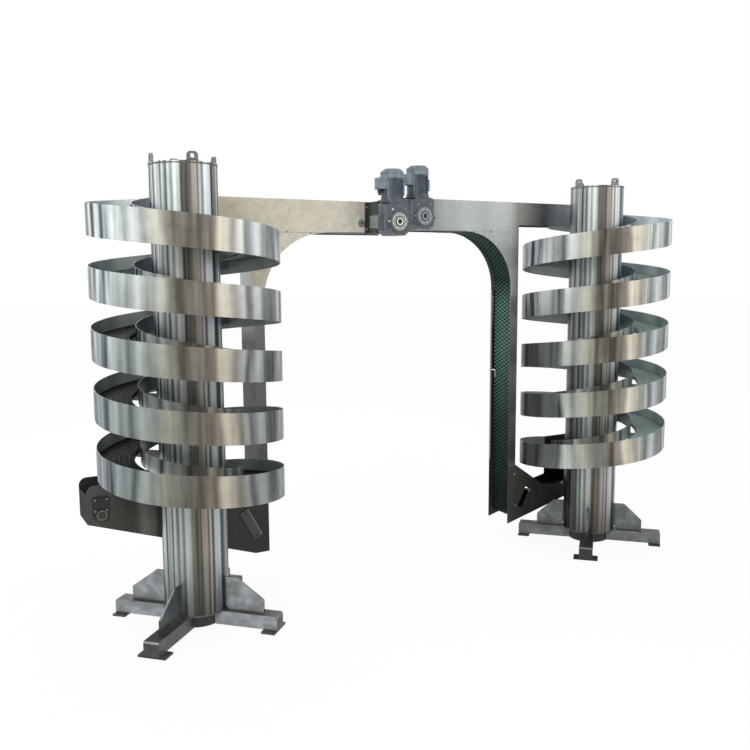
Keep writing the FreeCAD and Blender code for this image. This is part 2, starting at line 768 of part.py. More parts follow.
def decks():
    """Straight decks under the chain in the bridge and near the lower sprockets."""
    channel = f"{GUARD_FACE} - {TRACK_RADIUS}"
    depth = "Size.chain_depth + Size.chain_thickness"
    bridge_decks = []
    end_decks = []
    for side in (LEFT, RIGHT):
        name = SIDE_NAMES[side]
        reach = "Size.tower_spacing / 2 - Size.drive_offset - 2 * Size.sprocket_radius"
        drive = f"Size.{name}_drive_height + Size.sprocket_radius - Size.chain_thickness / 2"
        start = f"{spiral_top(side)} - ({depth})"
        corners = (
            (at(side, "0"), start),
            (at(side, reach), drive),
            (at(side, reach), f"{drive} - Size.deck_sheet"),
            (at(side, "0"), f"{start} - Size.deck_sheet"),
        )
        bridge_decks.append(place(plate(f"bridge_deck_{name}", corners, channel), "0", GUARD_FACE, "0"))
        start = f"{end_top(side)} - ({depth}) - Size.deck_gap"
        reach = f"-Size.end_shaft_reach + {SPROCKET_LEAD} * Size.sprocket_radius"
        sprocket_top = f"{end_top(side)} - Size.end_shaft_drop + Size.sprocket_radius"
        tail = f"{sprocket_top} - Size.chain_thickness / 2 - Size.deck_gap"
        corners = (
            (at(side, "0"), start),
            (at(side, reach), tail),
            (at(side, reach), f"{tail} - Size.deck_sheet"),
            (at(side, "0"), f"{start} - Size.deck_sheet"),
        )
        end_decks.append(place(plate(f"end_deck_{name}", corners, channel), "0", GUARD_FACE, "0"))
    group("bridge_decks", bridge_decks)
    group("end_decks", end_decks)


def ribbon_outline(path, radii, thickness):
    """Outline of a strip about a path of straight runs with rounded corners, in XZ."""
    sides = []
    for sign in (1, -1):
        offset = sign * thickness / 2
        points = []
        for index, point in enumerate(path):
            before = path[max(index - 1, 0)]
            after = path[min(index + 1, len(path) - 1)]
            incoming = (point - before) if index > 0 else (after - point)
            outgoing = (after - point) if index < len(path) - 1 else (point - before)
            incoming.normalize()
            outgoing.normalize()
            first = FreeCAD.Vector(-incoming.z, 0, incoming.x)
            second = FreeCAD.Vector(-outgoing.z, 0, outgoing.x)
            mitre = (first + second) * (1 / (1 + first.dot(second)))
            turn = incoming.z * outgoing.x - incoming.x * outgoing.z
            radius = radii[index] + (offset if turn > 0 else -offset) if radii[index] else 0
            points.append((point + mitre * offset, radius))
        sides.append(points)
    return sides[0] + sides[1][::-1]


def rounded_wire(points):
    """Closed wire through corners given with their radii."""
    edges = []
    count = len(points)
    starts = []
    for index, (corner, radius) in enumerate(points):
        before = points[index - 1][0]
        after = points[(index + 1) % count][0]
        if radius <= 0:
            starts.append((corner, corner, None))
            continue
        incoming = (corner - before).normalize()
        outgoing = (after - corner).normalize()
        bend = incoming.getAngle(outgoing)
        reach = radius * math.tan(bend / 2)
        begin = corner - incoming * reach
        end = corner + outgoing * reach
        inward = (outgoing - incoming).normalize()
        middle = corner + inward * (radius / math.cos(bend / 2) - radius)
        starts.append((begin, end, middle))
    for index, (begin, end, middle) in enumerate(starts):
        if middle is not None:
            edges.append(Part.Arc(begin, middle, end).toShape())
        following = starts[(index + 1) % count][0]
        if end.distanceToPoint(following) > 0.001:
            edges.append(Part.LineSegment(end, following).toShape())
    return Part.Wire(edges)


def chain_path(side):
    """Middle line of a chain from the top of its spiral round to the bottom, and its radii."""
    name = SIDE_NAMES[side]
    wrap = value("Size.sprocket_radius")
    inset = value("Size.chain_inset")
    centre = value("Size.chain_depth + Size.chain_thickness / 2")
    drive_reach = value("Size.tower_spacing / 2 - Size.drive_offset")
    drive_height = value(f"Size.{name}_drive_height")
    top = value(spiral_top(side))
    bottom = value(bridge_bottom(side))
    down = value(f"{leg_end(side)} - Size.chain_recess")
    tip = value(f"Size.{name}_tip_height") + inset
    slope_start = value(f"Size.{name}_tip_start")
    slope_end = value("-Size.end_reach")
    slope = (value(f"Size.{name}_slope_end") + inset - tip) / (slope_start - slope_end)
    end_top_now = value(end_top(side))
    tail = value("Size.end_shaft_reach")
    tail_axis = end_top_now - value("Size.end_shaft_drop")
    tail_low = tail_axis - wrap
    tail_high = tail_axis + wrap
    arch = value(f"Size.{name}_arch_radius + Size.arch_gap")
    bend = value("Size.tip_bend")
    slope_meets_tail = slope_start - (tail_low - tip) / slope
    route = (
        (0, top - centre, 0),
        (drive_reach - SPROCKET_LEAD * wrap, drive_height + wrap, 0),
        (drive_reach + wrap, drive_height + wrap, wrap),
        (drive_reach + wrap, drive_height - wrap, wrap),
        (drive_reach - SPROCKET_LEAD * wrap, drive_height - wrap, 0),
        (down + CORNER_LEAD * arch, bottom + inset, 0),
        (down, bottom + inset, arch),
        (down, tip + (slope_start - down) * slope, bend),
        (max(slope_meets_tail, -tail + wrap), tail_low, 0),
        (-tail - wrap, tail_low, wrap),
        (-tail - wrap, tail_high, wrap),
        (-tail + SPROCKET_LEAD * wrap, tail_high, 0),
        (0, end_top_now - centre, 0),
    )
    path = [FreeCAD.Vector(side * (value("Size.tower_spacing / 2") - u), 0, z) for u, z, _ in route]
    radii = [radius for _, _, radius in route]
    return path, radii


def chains():
    """Each chain as one closed loop: the spiral run joined to its straight runs."""
    for side in (LEFT, RIGHT):
        name = SIDE_NAMES[side]
        path, radii = chain_path(side)
        wire = rounded_wire(ribbon_outline(path, radii, value("Size.chain_thickness")))
        strip = Part.Face(wire).extrude(FreeCAD.Vector(0, value("Size.chain_width"), 0))
        straight = doc.addObject("Part::Feature", f"chain_straight_{name}")
        straight.Shape = strip
        straight.Placement.Base.y = value(CHAIN_INNER)
        node(straight, f"chain_return_{name}")
        flat_strip(
            f"chain_spiral_{name}",
            side,
            CHAIN_INNER,
            CHAIN_OUTER,
            "Size.chain_depth",
            "Size.chain_depth + Size.chain_thickness",
            0,
            TURNS,
        )


def sprocket(name, side, along, height):
    """Drum of a sprocket row on a shaft that seats on both plates."""
    drum = level(
        name + "_drum",
        "2 * (Size.sprocket_radius - Size.chain_thickness / 2)",
        "Size.chain_width",
        (at(side, along), CHAIN_INNER, height),
    )
    shaft = level(
        name + "_shaft",
        "Size.shaft_diameter",
        f"{GUARD_FACE} - {TRACK_RADIUS}",
        (at(side, along), TRACK_RADIUS, height),
    )
    both = doc.addObject("Part::MultiFuse", name)
    both.Shapes = [drum, shaft]
    return both


def rollers_and_bearings():
    """Sprockets at both ends of each chain, and the bearings that show on the plates."""
    sprockets = []
    blocks = []
    bosses = []
    idlers = []
    front_block = f"{FRONT_FACE} - Size.bearing_thickness"
    for side in (LEFT, RIGHT):
        name = SIDE_NAMES[side]
        middle = "Size.tower_spacing / 2 - Size.drive_offset"
        drive_height = f"Size.{name}_drive_height"
        tail = "-Size.end_shaft_reach"
        tail_height = f"{end_top(side)} - Size.end_shaft_drop"
        sprockets.append(sprocket(f"drive_sprocket_{name}", side, middle, drive_height))
        sprockets.append(sprocket(f"tail_sprocket_{name}", side, tail, tail_height))
        outward = f"{tail} {'-' if side == LEFT else '+'} Size.bearing_width / 2"
        block_bottom = f"{tail_height} + Size.bearing_rise - Size.bearing_height / 2"
        block_size = ("Size.bearing_width", "Size.bearing_thickness", "Size.bearing_height")
        ends = (
            ("front", front_block, f"{front_block} - Size.boss_length"),
            ("back", "Size.guard_radius", "Size.guard_radius + Size.bearing_thickness"),
        )
        for where, block_y, boss_y in ends:
            corner = (at(side, outward), block_y, block_bottom)
            blocks.append(box(f"block_{name}_{where}", block_size, corner))
            start = (at(side, tail), boss_y, tail_height)
            bosses.append(level(f"boss_{name}_{where}", "Size.boss_diameter", "Size.boss_length", start))
        idler_x = f"({side}) * Size.{name}_idler_offset"
        idler_start = (idler_x, f"{FRONT_FACE} - Size.idler_length", drive_height)
        idlers.append(level(f"idler_{name}", "Size.idler_diameter", "Size.idler_length", idler_start))
    group("sprockets", sprockets)
    group("tail_bearing_blocks", blocks)
    group("tail_bearing_bosses", bosses)
    group("bridge_idler_bearings", idlers)


def drives():
    """Two upright gear motors in front of the bridge, the left one on a stand-off bracket."""
    gearboxes = []
    flanges = []
    mounts = []
    housings = []
    cowls = []
    terminals = []
    for side in (LEFT, RIGHT):
        name = SIDE_NAMES[side]
        x = f"({side}) * Size.drive_offset"
        axis = f"Size.{name}_drive_height"
        back = FRONT_FACE if side == RIGHT else f"{FRONT_FACE} - Size.gearbox_depth"
        face = f"{back} - Size.gearbox_depth"
        half = "Size.gearbox_width / 2"
        corner = "Size.gearbox_corner"
        low = "-Size.gearbox_below"
        high = "Size.gearbox_above"
        outline = (
            (f"-{half} + {corner}", low),
            (f"{half} - {corner}", low),
            (half, f"{low} + {corner}"),
            (half, f"{high} - {corner} / 2"),
            (f"{half} - {corner} / 2", high),
            (f"-{half} + {corner} / 2", high),
            (f"-{half}", f"{high} - {corner} / 2"),
            (f"-{half}", f"{low} + {corner}"),
        )
        casing = plate(f"gearbox_{name}", outline, "Size.gearbox_depth")
        gearboxes.append(place(casing, x, back, axis))
        flange = tube(
            f"flange_{name}",
            "Size.flange_diameter",
            "Size.flange_bore",
            "Size.flange_thickness",
            ("0", "0", "0"),
        )
        facing = FreeCAD.Rotation(X_AXIS, 90)
        flanges.append(place(flange, x, face, axis, facing))
        centre = (f"{x} - Size.motor_shift", f"{back} - Size.gearbox_depth / 2")
        foot = f"{axis} + {high}"
        body = f"{foot} + Size.mount_thickness"
        mount_size = ("Size.mount_diameter", "Size.mount_thickness")
        mounts.append(upright(f"mount_{name}", *mount_size, (*centre, foot)))
        motor_size = ("Size.motor_diameter", "Size.motor_length")
        housings.append(upright(f"motor_{name}", *motor_size, (*centre, body)))
        cowls.append(fan_cowl(name, (*centre, f"{body} + Size.motor_length")))
        terminals.append(terminal_box(name, *centre, axis))
    group("gearboxes", gearboxes)
    group("output_flanges", flanges)
    group("motor_mounts", mounts)
    group("motor_housings", housings)
    group("fan_cowls", cowls)
    group("terminal_boxes", terminals)
    stand_off_bracket()


def fan_cowl(name, base):
    """Chamfered cover over the fan on top of a motor."""
    body = doc.addObject("PartDesign::Body", f"cowl_{name}")
    sketch = new_sketch(body, f"cowl_{name}_ring", "XY_Plane")
    draw_circle(sketch, "0", "0", "Size.cowl_diameter")
    pad(body, sketch, "Size.cowl_height")
    doc.recompute()
    pad_shape = body.Tip
    rim = [
        f"Edge{number}"
        for number, edge in enumerate(pad_shape.Shape.Edges, start=1)
        if edge.BoundBox.ZMin > value("Size.cowl_height") - 1
    ]
    chamfer = body.newObject("PartDesign::Chamfer", f"cowl_{name}_chamfer")
    chamfer.Base = (pad_shape, rim)
    chamfer.setExpression("Size", "Size.cowl_chamfer")
    doc.recompute()
    return place(body, *base)


def terminal_box(name, x, y, axis):
    """Terminal box on the left side of a motor, let into the round housing."""
    size = (
        "Size.motor_diameter / 2 + Size.terminal_reach",
        "Size.terminal_width",
        "Size.terminal_height",
    )
    corner = (
        f"{x} - Size.motor_diameter / 2 - Size.terminal_reach",
        f"{y} - Size.terminal_width / 2",
        f"{axis} + Size.terminal_rise",
    )
    block = box(f"terminal_block_{name}", size, corner)
    low = (x, y, f"{axis} + Size.terminal_rise - Size.terminal_height")
    hollow = upright(f"terminal_hollow_{name}", "Size.motor_diameter", "3 * Size.terminal_height", low)
    cut = doc.addObject("Part::Cut", f"terminal_{name}")
    cut.Base = block
    cut.Tool = hollow
    return cut


def stand_off_bracket():
    """Channel with two lips that holds the left drive away from the front plate."""
    body = doc.addObject("PartDesign::Body", "drive_bracket")
    sketch = new_sketch(body, "drive_bracket_plan", "XY_Plane")
    half = "Size.bracket_width / 2"
    depth = "Size.gearbox_depth"
    inner = f"{half} - Size.bracket_plate"
    corners = (
        (f"-{half} - Size.bracket_lip", "0"),
        (f"-{half} - Size.bracket_lip", "-Size.bracket_plate"),
        (f"-{half}", "-Size.bracket_plate"),
        (f"-{half}", f"-{depth}"),
        (half, f"-{depth}"),
        (half, "-Size.bracket_plate"),
        (f"{half} + Size.bracket_lip", "-Size.bracket_plate"),
        (f"{half} + Size.bracket_lip", "0"),
        (inner, "0"),
        (inner, f"-{depth} + Size.bracket_plate"),
        (f"-({inner})", f"-{depth} + Size.bracket_plate"),
        (f"-({inner})", "0"),
    )
    draw_outline(sketch, corners)
    pad(body, sketch, "Size.bracket_below + Size.bracket_above")
    place(body, "-Size.drive_offset", FRONT_FACE, "Size.left_drive_height - Size.bracket_below")
    node(body, "drive_bracket")


def slot_fittings():
    """Bar over the left adjusting slot and the tension shaft that ends in the right one."""
    bar_height = f"{end_top(LEFT)} - Size.bar_drop"
    outline = leaning(LEFT, "Size.bar_distance", bar_height, "Size.bar_length", "Size.bar_width")
    bar = plate("slot_cover_bar", outline, "Size.bar_thickness")
    node(place(bar, "0", FRONT_FACE, "0"), "slot_cover_bar")
    along = "Size.slot_distance - Size.tension_rise * cos(Size.slot_lean)"
    rise = f"{end_top(RIGHT)} - Size.slot_drop + Size.tension_rise * sin(Size.slot_lean)"
    front_end = f"{FRONT_FACE} - Size.tension_end"
    shaft = level(
        "tension_shaft",
        "Size.tension_diameter",
        f"{GUARD_FACE} - ({front_end})",
        (at(RIGHT, along), front_end, rise),
    )
    node(shaft, "tension_shaft")


columns()
lifting_lugs()
base_frames()
spirals()
bridge()
lower_plates()
legs_of_bridge()
decks()
chains()
rollers_and_bearings()
slot_fittings()
drives()
doc.recompute()

for item in doc.Objects:
    if "Invalid" in item.State or "Error" in item.State:
        raise RuntimeError(f"{item.Label} failed: {item.State}")
for item in nodes:
    if item.Shape.isNull() or not item.Shape.isValid() or not item.Shape.Solids:
        raise RuntimeError(f"{item.Label} has no valid solid")

os.makedirs("parts", exist_ok=True)
for item in nodes:
    item.Shape.exportStep(f"parts/{item.Label}.step")
    print(item.Label, len(item.Shape.Solids), round(item.Shape.Volume / 1e6, 3), item.Shape.BoundBox)
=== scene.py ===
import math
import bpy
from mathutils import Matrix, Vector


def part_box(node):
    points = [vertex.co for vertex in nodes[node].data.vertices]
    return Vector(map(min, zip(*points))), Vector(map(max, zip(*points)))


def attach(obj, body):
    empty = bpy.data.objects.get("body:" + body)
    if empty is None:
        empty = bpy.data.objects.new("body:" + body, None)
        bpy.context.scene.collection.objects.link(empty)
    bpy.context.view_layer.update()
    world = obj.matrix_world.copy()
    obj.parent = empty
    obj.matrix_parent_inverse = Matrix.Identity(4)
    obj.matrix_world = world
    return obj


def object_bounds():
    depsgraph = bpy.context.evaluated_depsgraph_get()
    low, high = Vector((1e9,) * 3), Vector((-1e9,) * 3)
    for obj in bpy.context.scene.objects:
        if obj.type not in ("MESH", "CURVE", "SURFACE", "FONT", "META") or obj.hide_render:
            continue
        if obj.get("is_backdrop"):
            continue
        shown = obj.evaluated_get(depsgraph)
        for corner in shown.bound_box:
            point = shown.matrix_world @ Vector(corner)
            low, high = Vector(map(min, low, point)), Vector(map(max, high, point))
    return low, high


bl_info = {
    "name": "Spiral Conveyor Finish",
    "version": (1, 0, 0),
    "blender": (4, 2, 0),
    "location": "3D View > Sidebar > Conveyor",
    "description": "Belt, welds, drive fittings, finishes and a studio for a twin-tower spiral conveyor",
    "category": "Object",
}

import bmesh
import bpy
from mathutils import Matrix, Vector

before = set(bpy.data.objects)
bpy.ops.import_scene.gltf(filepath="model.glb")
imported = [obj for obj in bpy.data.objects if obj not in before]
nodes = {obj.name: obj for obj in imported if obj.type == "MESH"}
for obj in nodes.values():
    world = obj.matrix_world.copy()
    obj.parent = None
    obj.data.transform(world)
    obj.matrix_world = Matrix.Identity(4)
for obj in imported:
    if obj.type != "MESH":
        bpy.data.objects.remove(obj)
CAD_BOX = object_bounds()

# Metres, in the part's own frame: +X along the bridge, +Y the side of the bridge, +Z up.
# A place on a tower is given mirrored: along runs from the tower's axis to the middle.
TOWER_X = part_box("column_caps")[1].x - (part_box("column_left")[1].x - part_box("column_left")[0].x) / 2
LEFT, RIGHT = -1, 1
SIDES = {LEFT: "left", RIGHT: "right"}
TURNS = 5
ROWS_PER_TURN = 90
# The outer guard: its height and the radius of its outer face.
GUARD_HEIGHT = 0.150
GUARD_RADIUS = 0.4562
# Distance from a tower's axis to the faces that look at the belt, of the inner guard and the front
# plates and of the outer guard and the back plates, and to the outer faces of these plates.
FRONT_INSIDE = 0.2485
BACK_INSIDE = 0.4545
FRONT_FACE = 0.2467
BACK_FACE = 0.4563
LEG_WIDTH = 0.058
LUG_RADIUS = 0.153
# Height of each drive's shaft, and place of the tail shafts: beyond the tower's axis and under the
# top of the guard's lower end.
AXIS_HEIGHT = {LEFT: 2.041, RIGHT: 2.083}
TAIL_REACH = 0.410
TAIL_DROP = 0.149


# Sizes and colours that a user may change


class ConveyorSizes(bpy.types.PropertyGroup):
    """Sizes of the fitted pieces."""

    belt_pitch: bpy.props.FloatProperty(
        name="Belt pitch",
        description="Distance from one row of belt modules to the next",
        default=0.0254,
        unit="LENGTH",
    )
    belt_rise: bpy.props.FloatProperty(
        name="Belt rise",
        description="Height of the belt's fingers over the plain chain",
        default=0.003,
        unit="LENGTH",
    )
    weld_width: bpy.props.FloatProperty(
        name="Weld width",
        description="Width of a weld bead on the bases",
        default=0.007,
        unit="LENGTH",
    )
    seam_width: bpy.props.FloatProperty(
        name="Seam width",
        description="Width of the ground weld where two guard sheets meet",
        default=0.0035,
        unit="LENGTH",
    )
    fin_count: bpy.props.IntProperty(
        name="Cooling ribs",
        description="Number of cooling ribs round a motor",
        default=30,
    )


class ConveyorColours(bpy.types.PropertyGroup):
    """Colours of the finishes, as sRGB."""

    belt: bpy.props.StringProperty(
        name="Belt", description="Green of the moulded belt", default="#66877f"
    )
    drive: bpy.props.StringProperty(
        name="Drives", description="Enamel of motors and gearboxes", default="#4d565e"
    )
    warm_plate: bpy.props.StringProperty(
        name="Left beam", description="Warm sheet of the left half of the bridge", default="#ddd6c4"
    )
    cool_plate: bpy.props.StringProperty(
        name="Right beam", description="Cool sheet of the right half of the bridge", default="#bdc0be"
    )
    floor: bpy.props.StringProperty(
        name="Floor", description="Pale studio floor", default="#fbfbfa"
    )


# Small helpers

# Kinds of node, each with its settings.
PLACE = ("ShaderNodeTexCoord", {})
SPLIT = ("ShaderNodeSeparateXYZ", {})
JOIN = ("ShaderNodeCombineXYZ", {})
NOISE = ("ShaderNodeTexNoise", {})
SPREAD = ("ShaderNodeMapRange", {})
RAMP = ("ShaderNodeValToRGB", {})
BUMP = ("ShaderNodeBump", {})
GLOW = ("ShaderNodeEmission", {})
LIGHT_PATH = ("ShaderNodeLightPath", {})
MIX_SHADER = ("ShaderNodeMixShader", {})
ADD = ("ShaderNodeMath", {"operation": "ADD"})
SUBTRACT = ("ShaderNodeMath", {"operation": "SUBTRACT"})
MULTIPLY = ("ShaderNodeMath", {"operation": "MULTIPLY"})
LARGER = ("ShaderNodeMath", {"operation": "MAXIMUM"})
ABOVE = ("ShaderNodeMath", {"operation": "GREATER_THAN"})
BELOW = ("ShaderNodeMath", {"operation": "LESS_THAN"})
SIGN = ("ShaderNodeMath", {"operation": "SIGN"})
FRACTION = ("ShaderNodeMath", {"operation": "FRACT"})
ANGLE = ("ShaderNodeMath", {"operation": "ARCTAN2"})
DOT = ("ShaderNodeVectorMath", {"operation": "DOT_PRODUCT"})
NORMALIZE = ("ShaderNodeVectorMath", {"operation": "NORMALIZE"})
MIX = ("ShaderNodeMix", {"data_type": "RGBA", "blend_type": "MIX", "clamp_result": True})
TINT = ("ShaderNodeMix", {"data_type": "RGBA", "blend_type": "MULTIPLY", "clamp_result": True})
STREAK = ("ShaderNodeMix", {"data_type": "RGBA", "blend_type": "LINEAR_LIGHT", "clamp_result": True})


def linear(hex_colour):
    """sRGB hex to linear RGBA."""
    channels = [int(hex_colour[start : start + 2], 16) / 255 for start in (1, 3, 5)]
    return tuple(c / 12.92 if c <= 0.04045 else ((c + 0.055) / 1.055) ** 2.4 for c in channels) + (1.0,)


def feed(tree, node, *sources, **named):
    """Links or sets a node's open inputs in order, and others by name. A text is an sRGB hex."""
    pairs = list(zip([socket for socket in node.inputs if socket.enabled], sources))
    pairs += [(node.inputs[name.replace("_", " ")], source) for name, source in named.items()]
    for socket, source in pairs:
        if isinstance(source, bpy.types.Node):
            source = next(output for output in source.outputs if output.enabled)
        if isinstance(source, bpy.types.NodeSocket):
            tree.links.new(source, socket)
        else:
            socket.default_value = linear(source) if isinstance(source, str) else source


def add(tree, kind, *sources, stops=(), **named):
    """Adds a node with its settings and links and, on a ramp, its stops of place and hex."""
    type_name, settings = kind
    made = tree.nodes.new(type_name)
    for name, setting in settings.items():
        setattr(made, name, setting)
    if stops:
        elements = made.color_ramp.elements
        while len(elements) < len(stops):
            elements.new(0.5)
        for element, (place, colour) in zip(elements, stops):
            element.position = place
            element.color = linear(colour)
    feed(tree, made, *sources, **named)
    return made


def new_material(name):
    """Empty material with a Principled shader, and its tree and shader."""
    material = bpy.data.materials.new(name)
    material.use_nodes = True
    tree = material.node_tree
    return material, tree, tree.nodes["Principled BSDF"]


def object_place(tree):
    """Object coordinates as x, y and z."""
    return add(tree, SPLIT, add(tree, PLACE).outputs["Object"]).outputs


def tower_place(tree):
    """Object coordinates about the axis of the nearer tower, and 1 on the right side of the part."""
    x, y, z = object_place(tree)
    on_right = add(tree, ABOVE, x, 0.0)
    centre = add(tree, MULTIPLY, add(tree, SIGN, x), TOWER_X)
    return add(tree, SUBTRACT, x, centre), y, z, on_right


def squared_reach(tree, x, y):
    """Square of the distance from a tower's axis."""
    return add(tree, ADD, add(tree, MULTIPLY, x, x), add(tree, MULTIPLY, y, y))


def clouds(tree, x, y, z, width, detail=2.0, roughness=0.5):
    """Cloudy pattern over three given coordinates, whose clouds are width millimetres wide."""
    where = add(tree, JOIN, x, y, z)
    return add(tree, NOISE, where, Scale=1000 / width, Detail=detail, Roughness=roughness)


def darkened(tree, share, colour, pattern, *stops):
    """Colour multiplied, as far as share says, by a ramp over a pattern."""
    return add(tree, TINT, share, colour, add(tree, RAMP, pattern, stops=stops))


# Painted reflection of what bright sheet mirrors round a tower: share of a full turn from -X, and tone.
GUARD_PAINTED_REFLECTION = (
    (0.0, "#a9b1b5"), (0.014, "#eaf1f3"), (0.026, "#848c90"), (0.040, "#dde4e7"),
    (0.052, "#9aa2a6"), (0.075, "#f3f9f9"), (0.098, "#dde5e1"), (0.108, "#848c8a"),
    (0.125, "#dfe6e2"), (0.145, "#9da29e"), (0.165, "#b5b5a9"), (0.178, "#8d8b82"),
    (0.192, "#68655f"), (0.226, "#6e6963"), (0.245, "#8b8479"), (0.256, "#ddd5c2"),
    (0.270, "#cfc9bb"), (0.282, "#a3a097"), (0.297, "#cdcdc9"), (0.305, "#7a7e80"),
    (0.325, "#d8dcdd"), (0.350, "#a0a5a7"), (0.370, "#7d8488"), (0.385, "#d5dadc"),
    (0.402, "#6d7478"), (0.430, "#b6bbbd"), (0.520, "#767c80"), (0.600, "#cdd1d0"),
    (0.680, "#75776f"), (0.760, "#d8d5ca"), (0.860, "#7b7972"), (0.960, "#656d70"),
)
# How much of the painted reflection is left under painted shade low down, on the left and on the right
# tower.
LEFT_LOW_SHADE = (
    (0.0, "#858d91"), (0.10, "#8d9494"), (0.17, "#c6c7c3"), (0.21, "#dddcd8"),
    (0.26, "#cfcec9"), (0.30, "#b0b3b2"), (0.44, "#a6a9a9"), (0.80, "#b4b4b4"),
)
RIGHT_LOW_SHADE = (
    (0.0, "#1c1e1d"), (0.040, "#2a2c2b"), (0.060, "#4e514f"), (0.100, "#6a6d6b"),
    (0.115, "#e0e2de"), (0.24, "#f6f6f2"), (0.31, "#d8dcdb"), (0.44, "#b4b9b8"),
    (0.80, "#b0b0b0"), (0.93, "#2a2c2b"),
)
# Painted reflection of what the polished columns mirror.
COLUMN_PAINTED_REFLECTION = (
    (0.0, "#9fa7a9"), (0.026, "#e3e9ea"), (0.043, "#565d5f"), (0.060, "#dbe2e2"),
    (0.078, "#cdd5d4"), (0.089, "#616867"), (0.104, "#dde4e2"), (0.121, "#727a79"),
    (0.134, "#d6dedb"), (0.150, "#858d8a"), (0.163, "#cfd7d3"), (0.183, "#a9afa9"),
    (0.193, "#66655f"), (0.234, "#5e5b56"), (0.243, "#9f998f"), (0.261, "#b0aaa0"),
    (0.270, "#6b6a66"), (0.279, "#cbc8c0"), (0.292, "#5a5b5d"), (0.306, "#d3dadf"),
    (0.335, "#dee3e7"), (0.346, "#4e5357"), (0.373, "#747a7d"), (0.392, "#c9ced1"),
    (0.412, "#4b5155"), (0.450, "#b9bfc2"), (0.550, "#747a7d"), (0.640, "#cfcfc8"),
    (0.730, "#7b7972"), (0.820, "#cdd3d5"), (0.910, "#6c7275"),
)
# How far the fine streaks of painted reflection show: much near both sides of the view, little in front.
BUSY = (
    (0.0, "#ffffff"), (0.07, "#c8c8c8"), (0.13, "#6a6a6a"), (0.30, "#6a6a6a"),
    (0.36, "#8c8c8c"), (0.48, "#e0e0e0"), (0.66, "#8c8c8c"), (0.90, "#e0e0e0"),
)
# How far the painted shade of the low tones shows, from the lower turns to the upper ones.
LOW_SHADE_BY_HEIGHT = (
    (0.0, "#ffffff"), (0.5, "#e6e6e6"), (0.85, "#5a5a5a"), (1.0, "#303030"),
)
# Where a painted highlight lies on a rounded edge: by how far it looks up.
EDGE_LIGHT = (
    (0.12, "#000000"), (0.3, "#dadada"), (0.75, "#dadada"), (0.9, "#000000"),
)
# Shade on the belt, from low in the legs to the top of the arch.
BELT_BY_HEIGHT = (
    (0.0, "#4c5653"), (0.35, "#8d9794"), (0.7, "#ffffff"), (0.9, "#ffffff"), (1.0, "#8f9492"),
)
# Tints of painted light and shade along X of the left and the right beam and of the lower plates.
WARM_SWEEP = (
    (-1.33, "#f2efe6"), (-0.9, "#e6e4dd"), (-0.5, "#eae9e4"), (-0.3, "#ffffff"),
    (0.0, "#ffffff"),
)
COOL_SWEEP = (
    (0.0, "#d9dcdc"), (0.25, "#e2e5e5"), (0.6, "#ffffff"), (0.84, "#ffffff"), (0.90, "#c9c9c3"),
    (1.02, "#acaca6"), (1.12, "#8b8e92"), (1.22, "#c9cdd4"), (1.33, "#c9cdd4"),
)
LOWER_SWEEP = (
    (-1.80, "#a8a8a6"), (-1.56, "#a8a8a6"), (-1.53, "#ffffff"), (-1.46, "#f4fafa"),
    (-1.45, "#a8a8a6"), (-1.40, "#a8a8a6"), (-1.37, "#787875"), (-1.10, "#787875"),
    (-0.80, "#6e6e6b"), (0.60, "#908f8c"), (1.40, "#868683"),
)


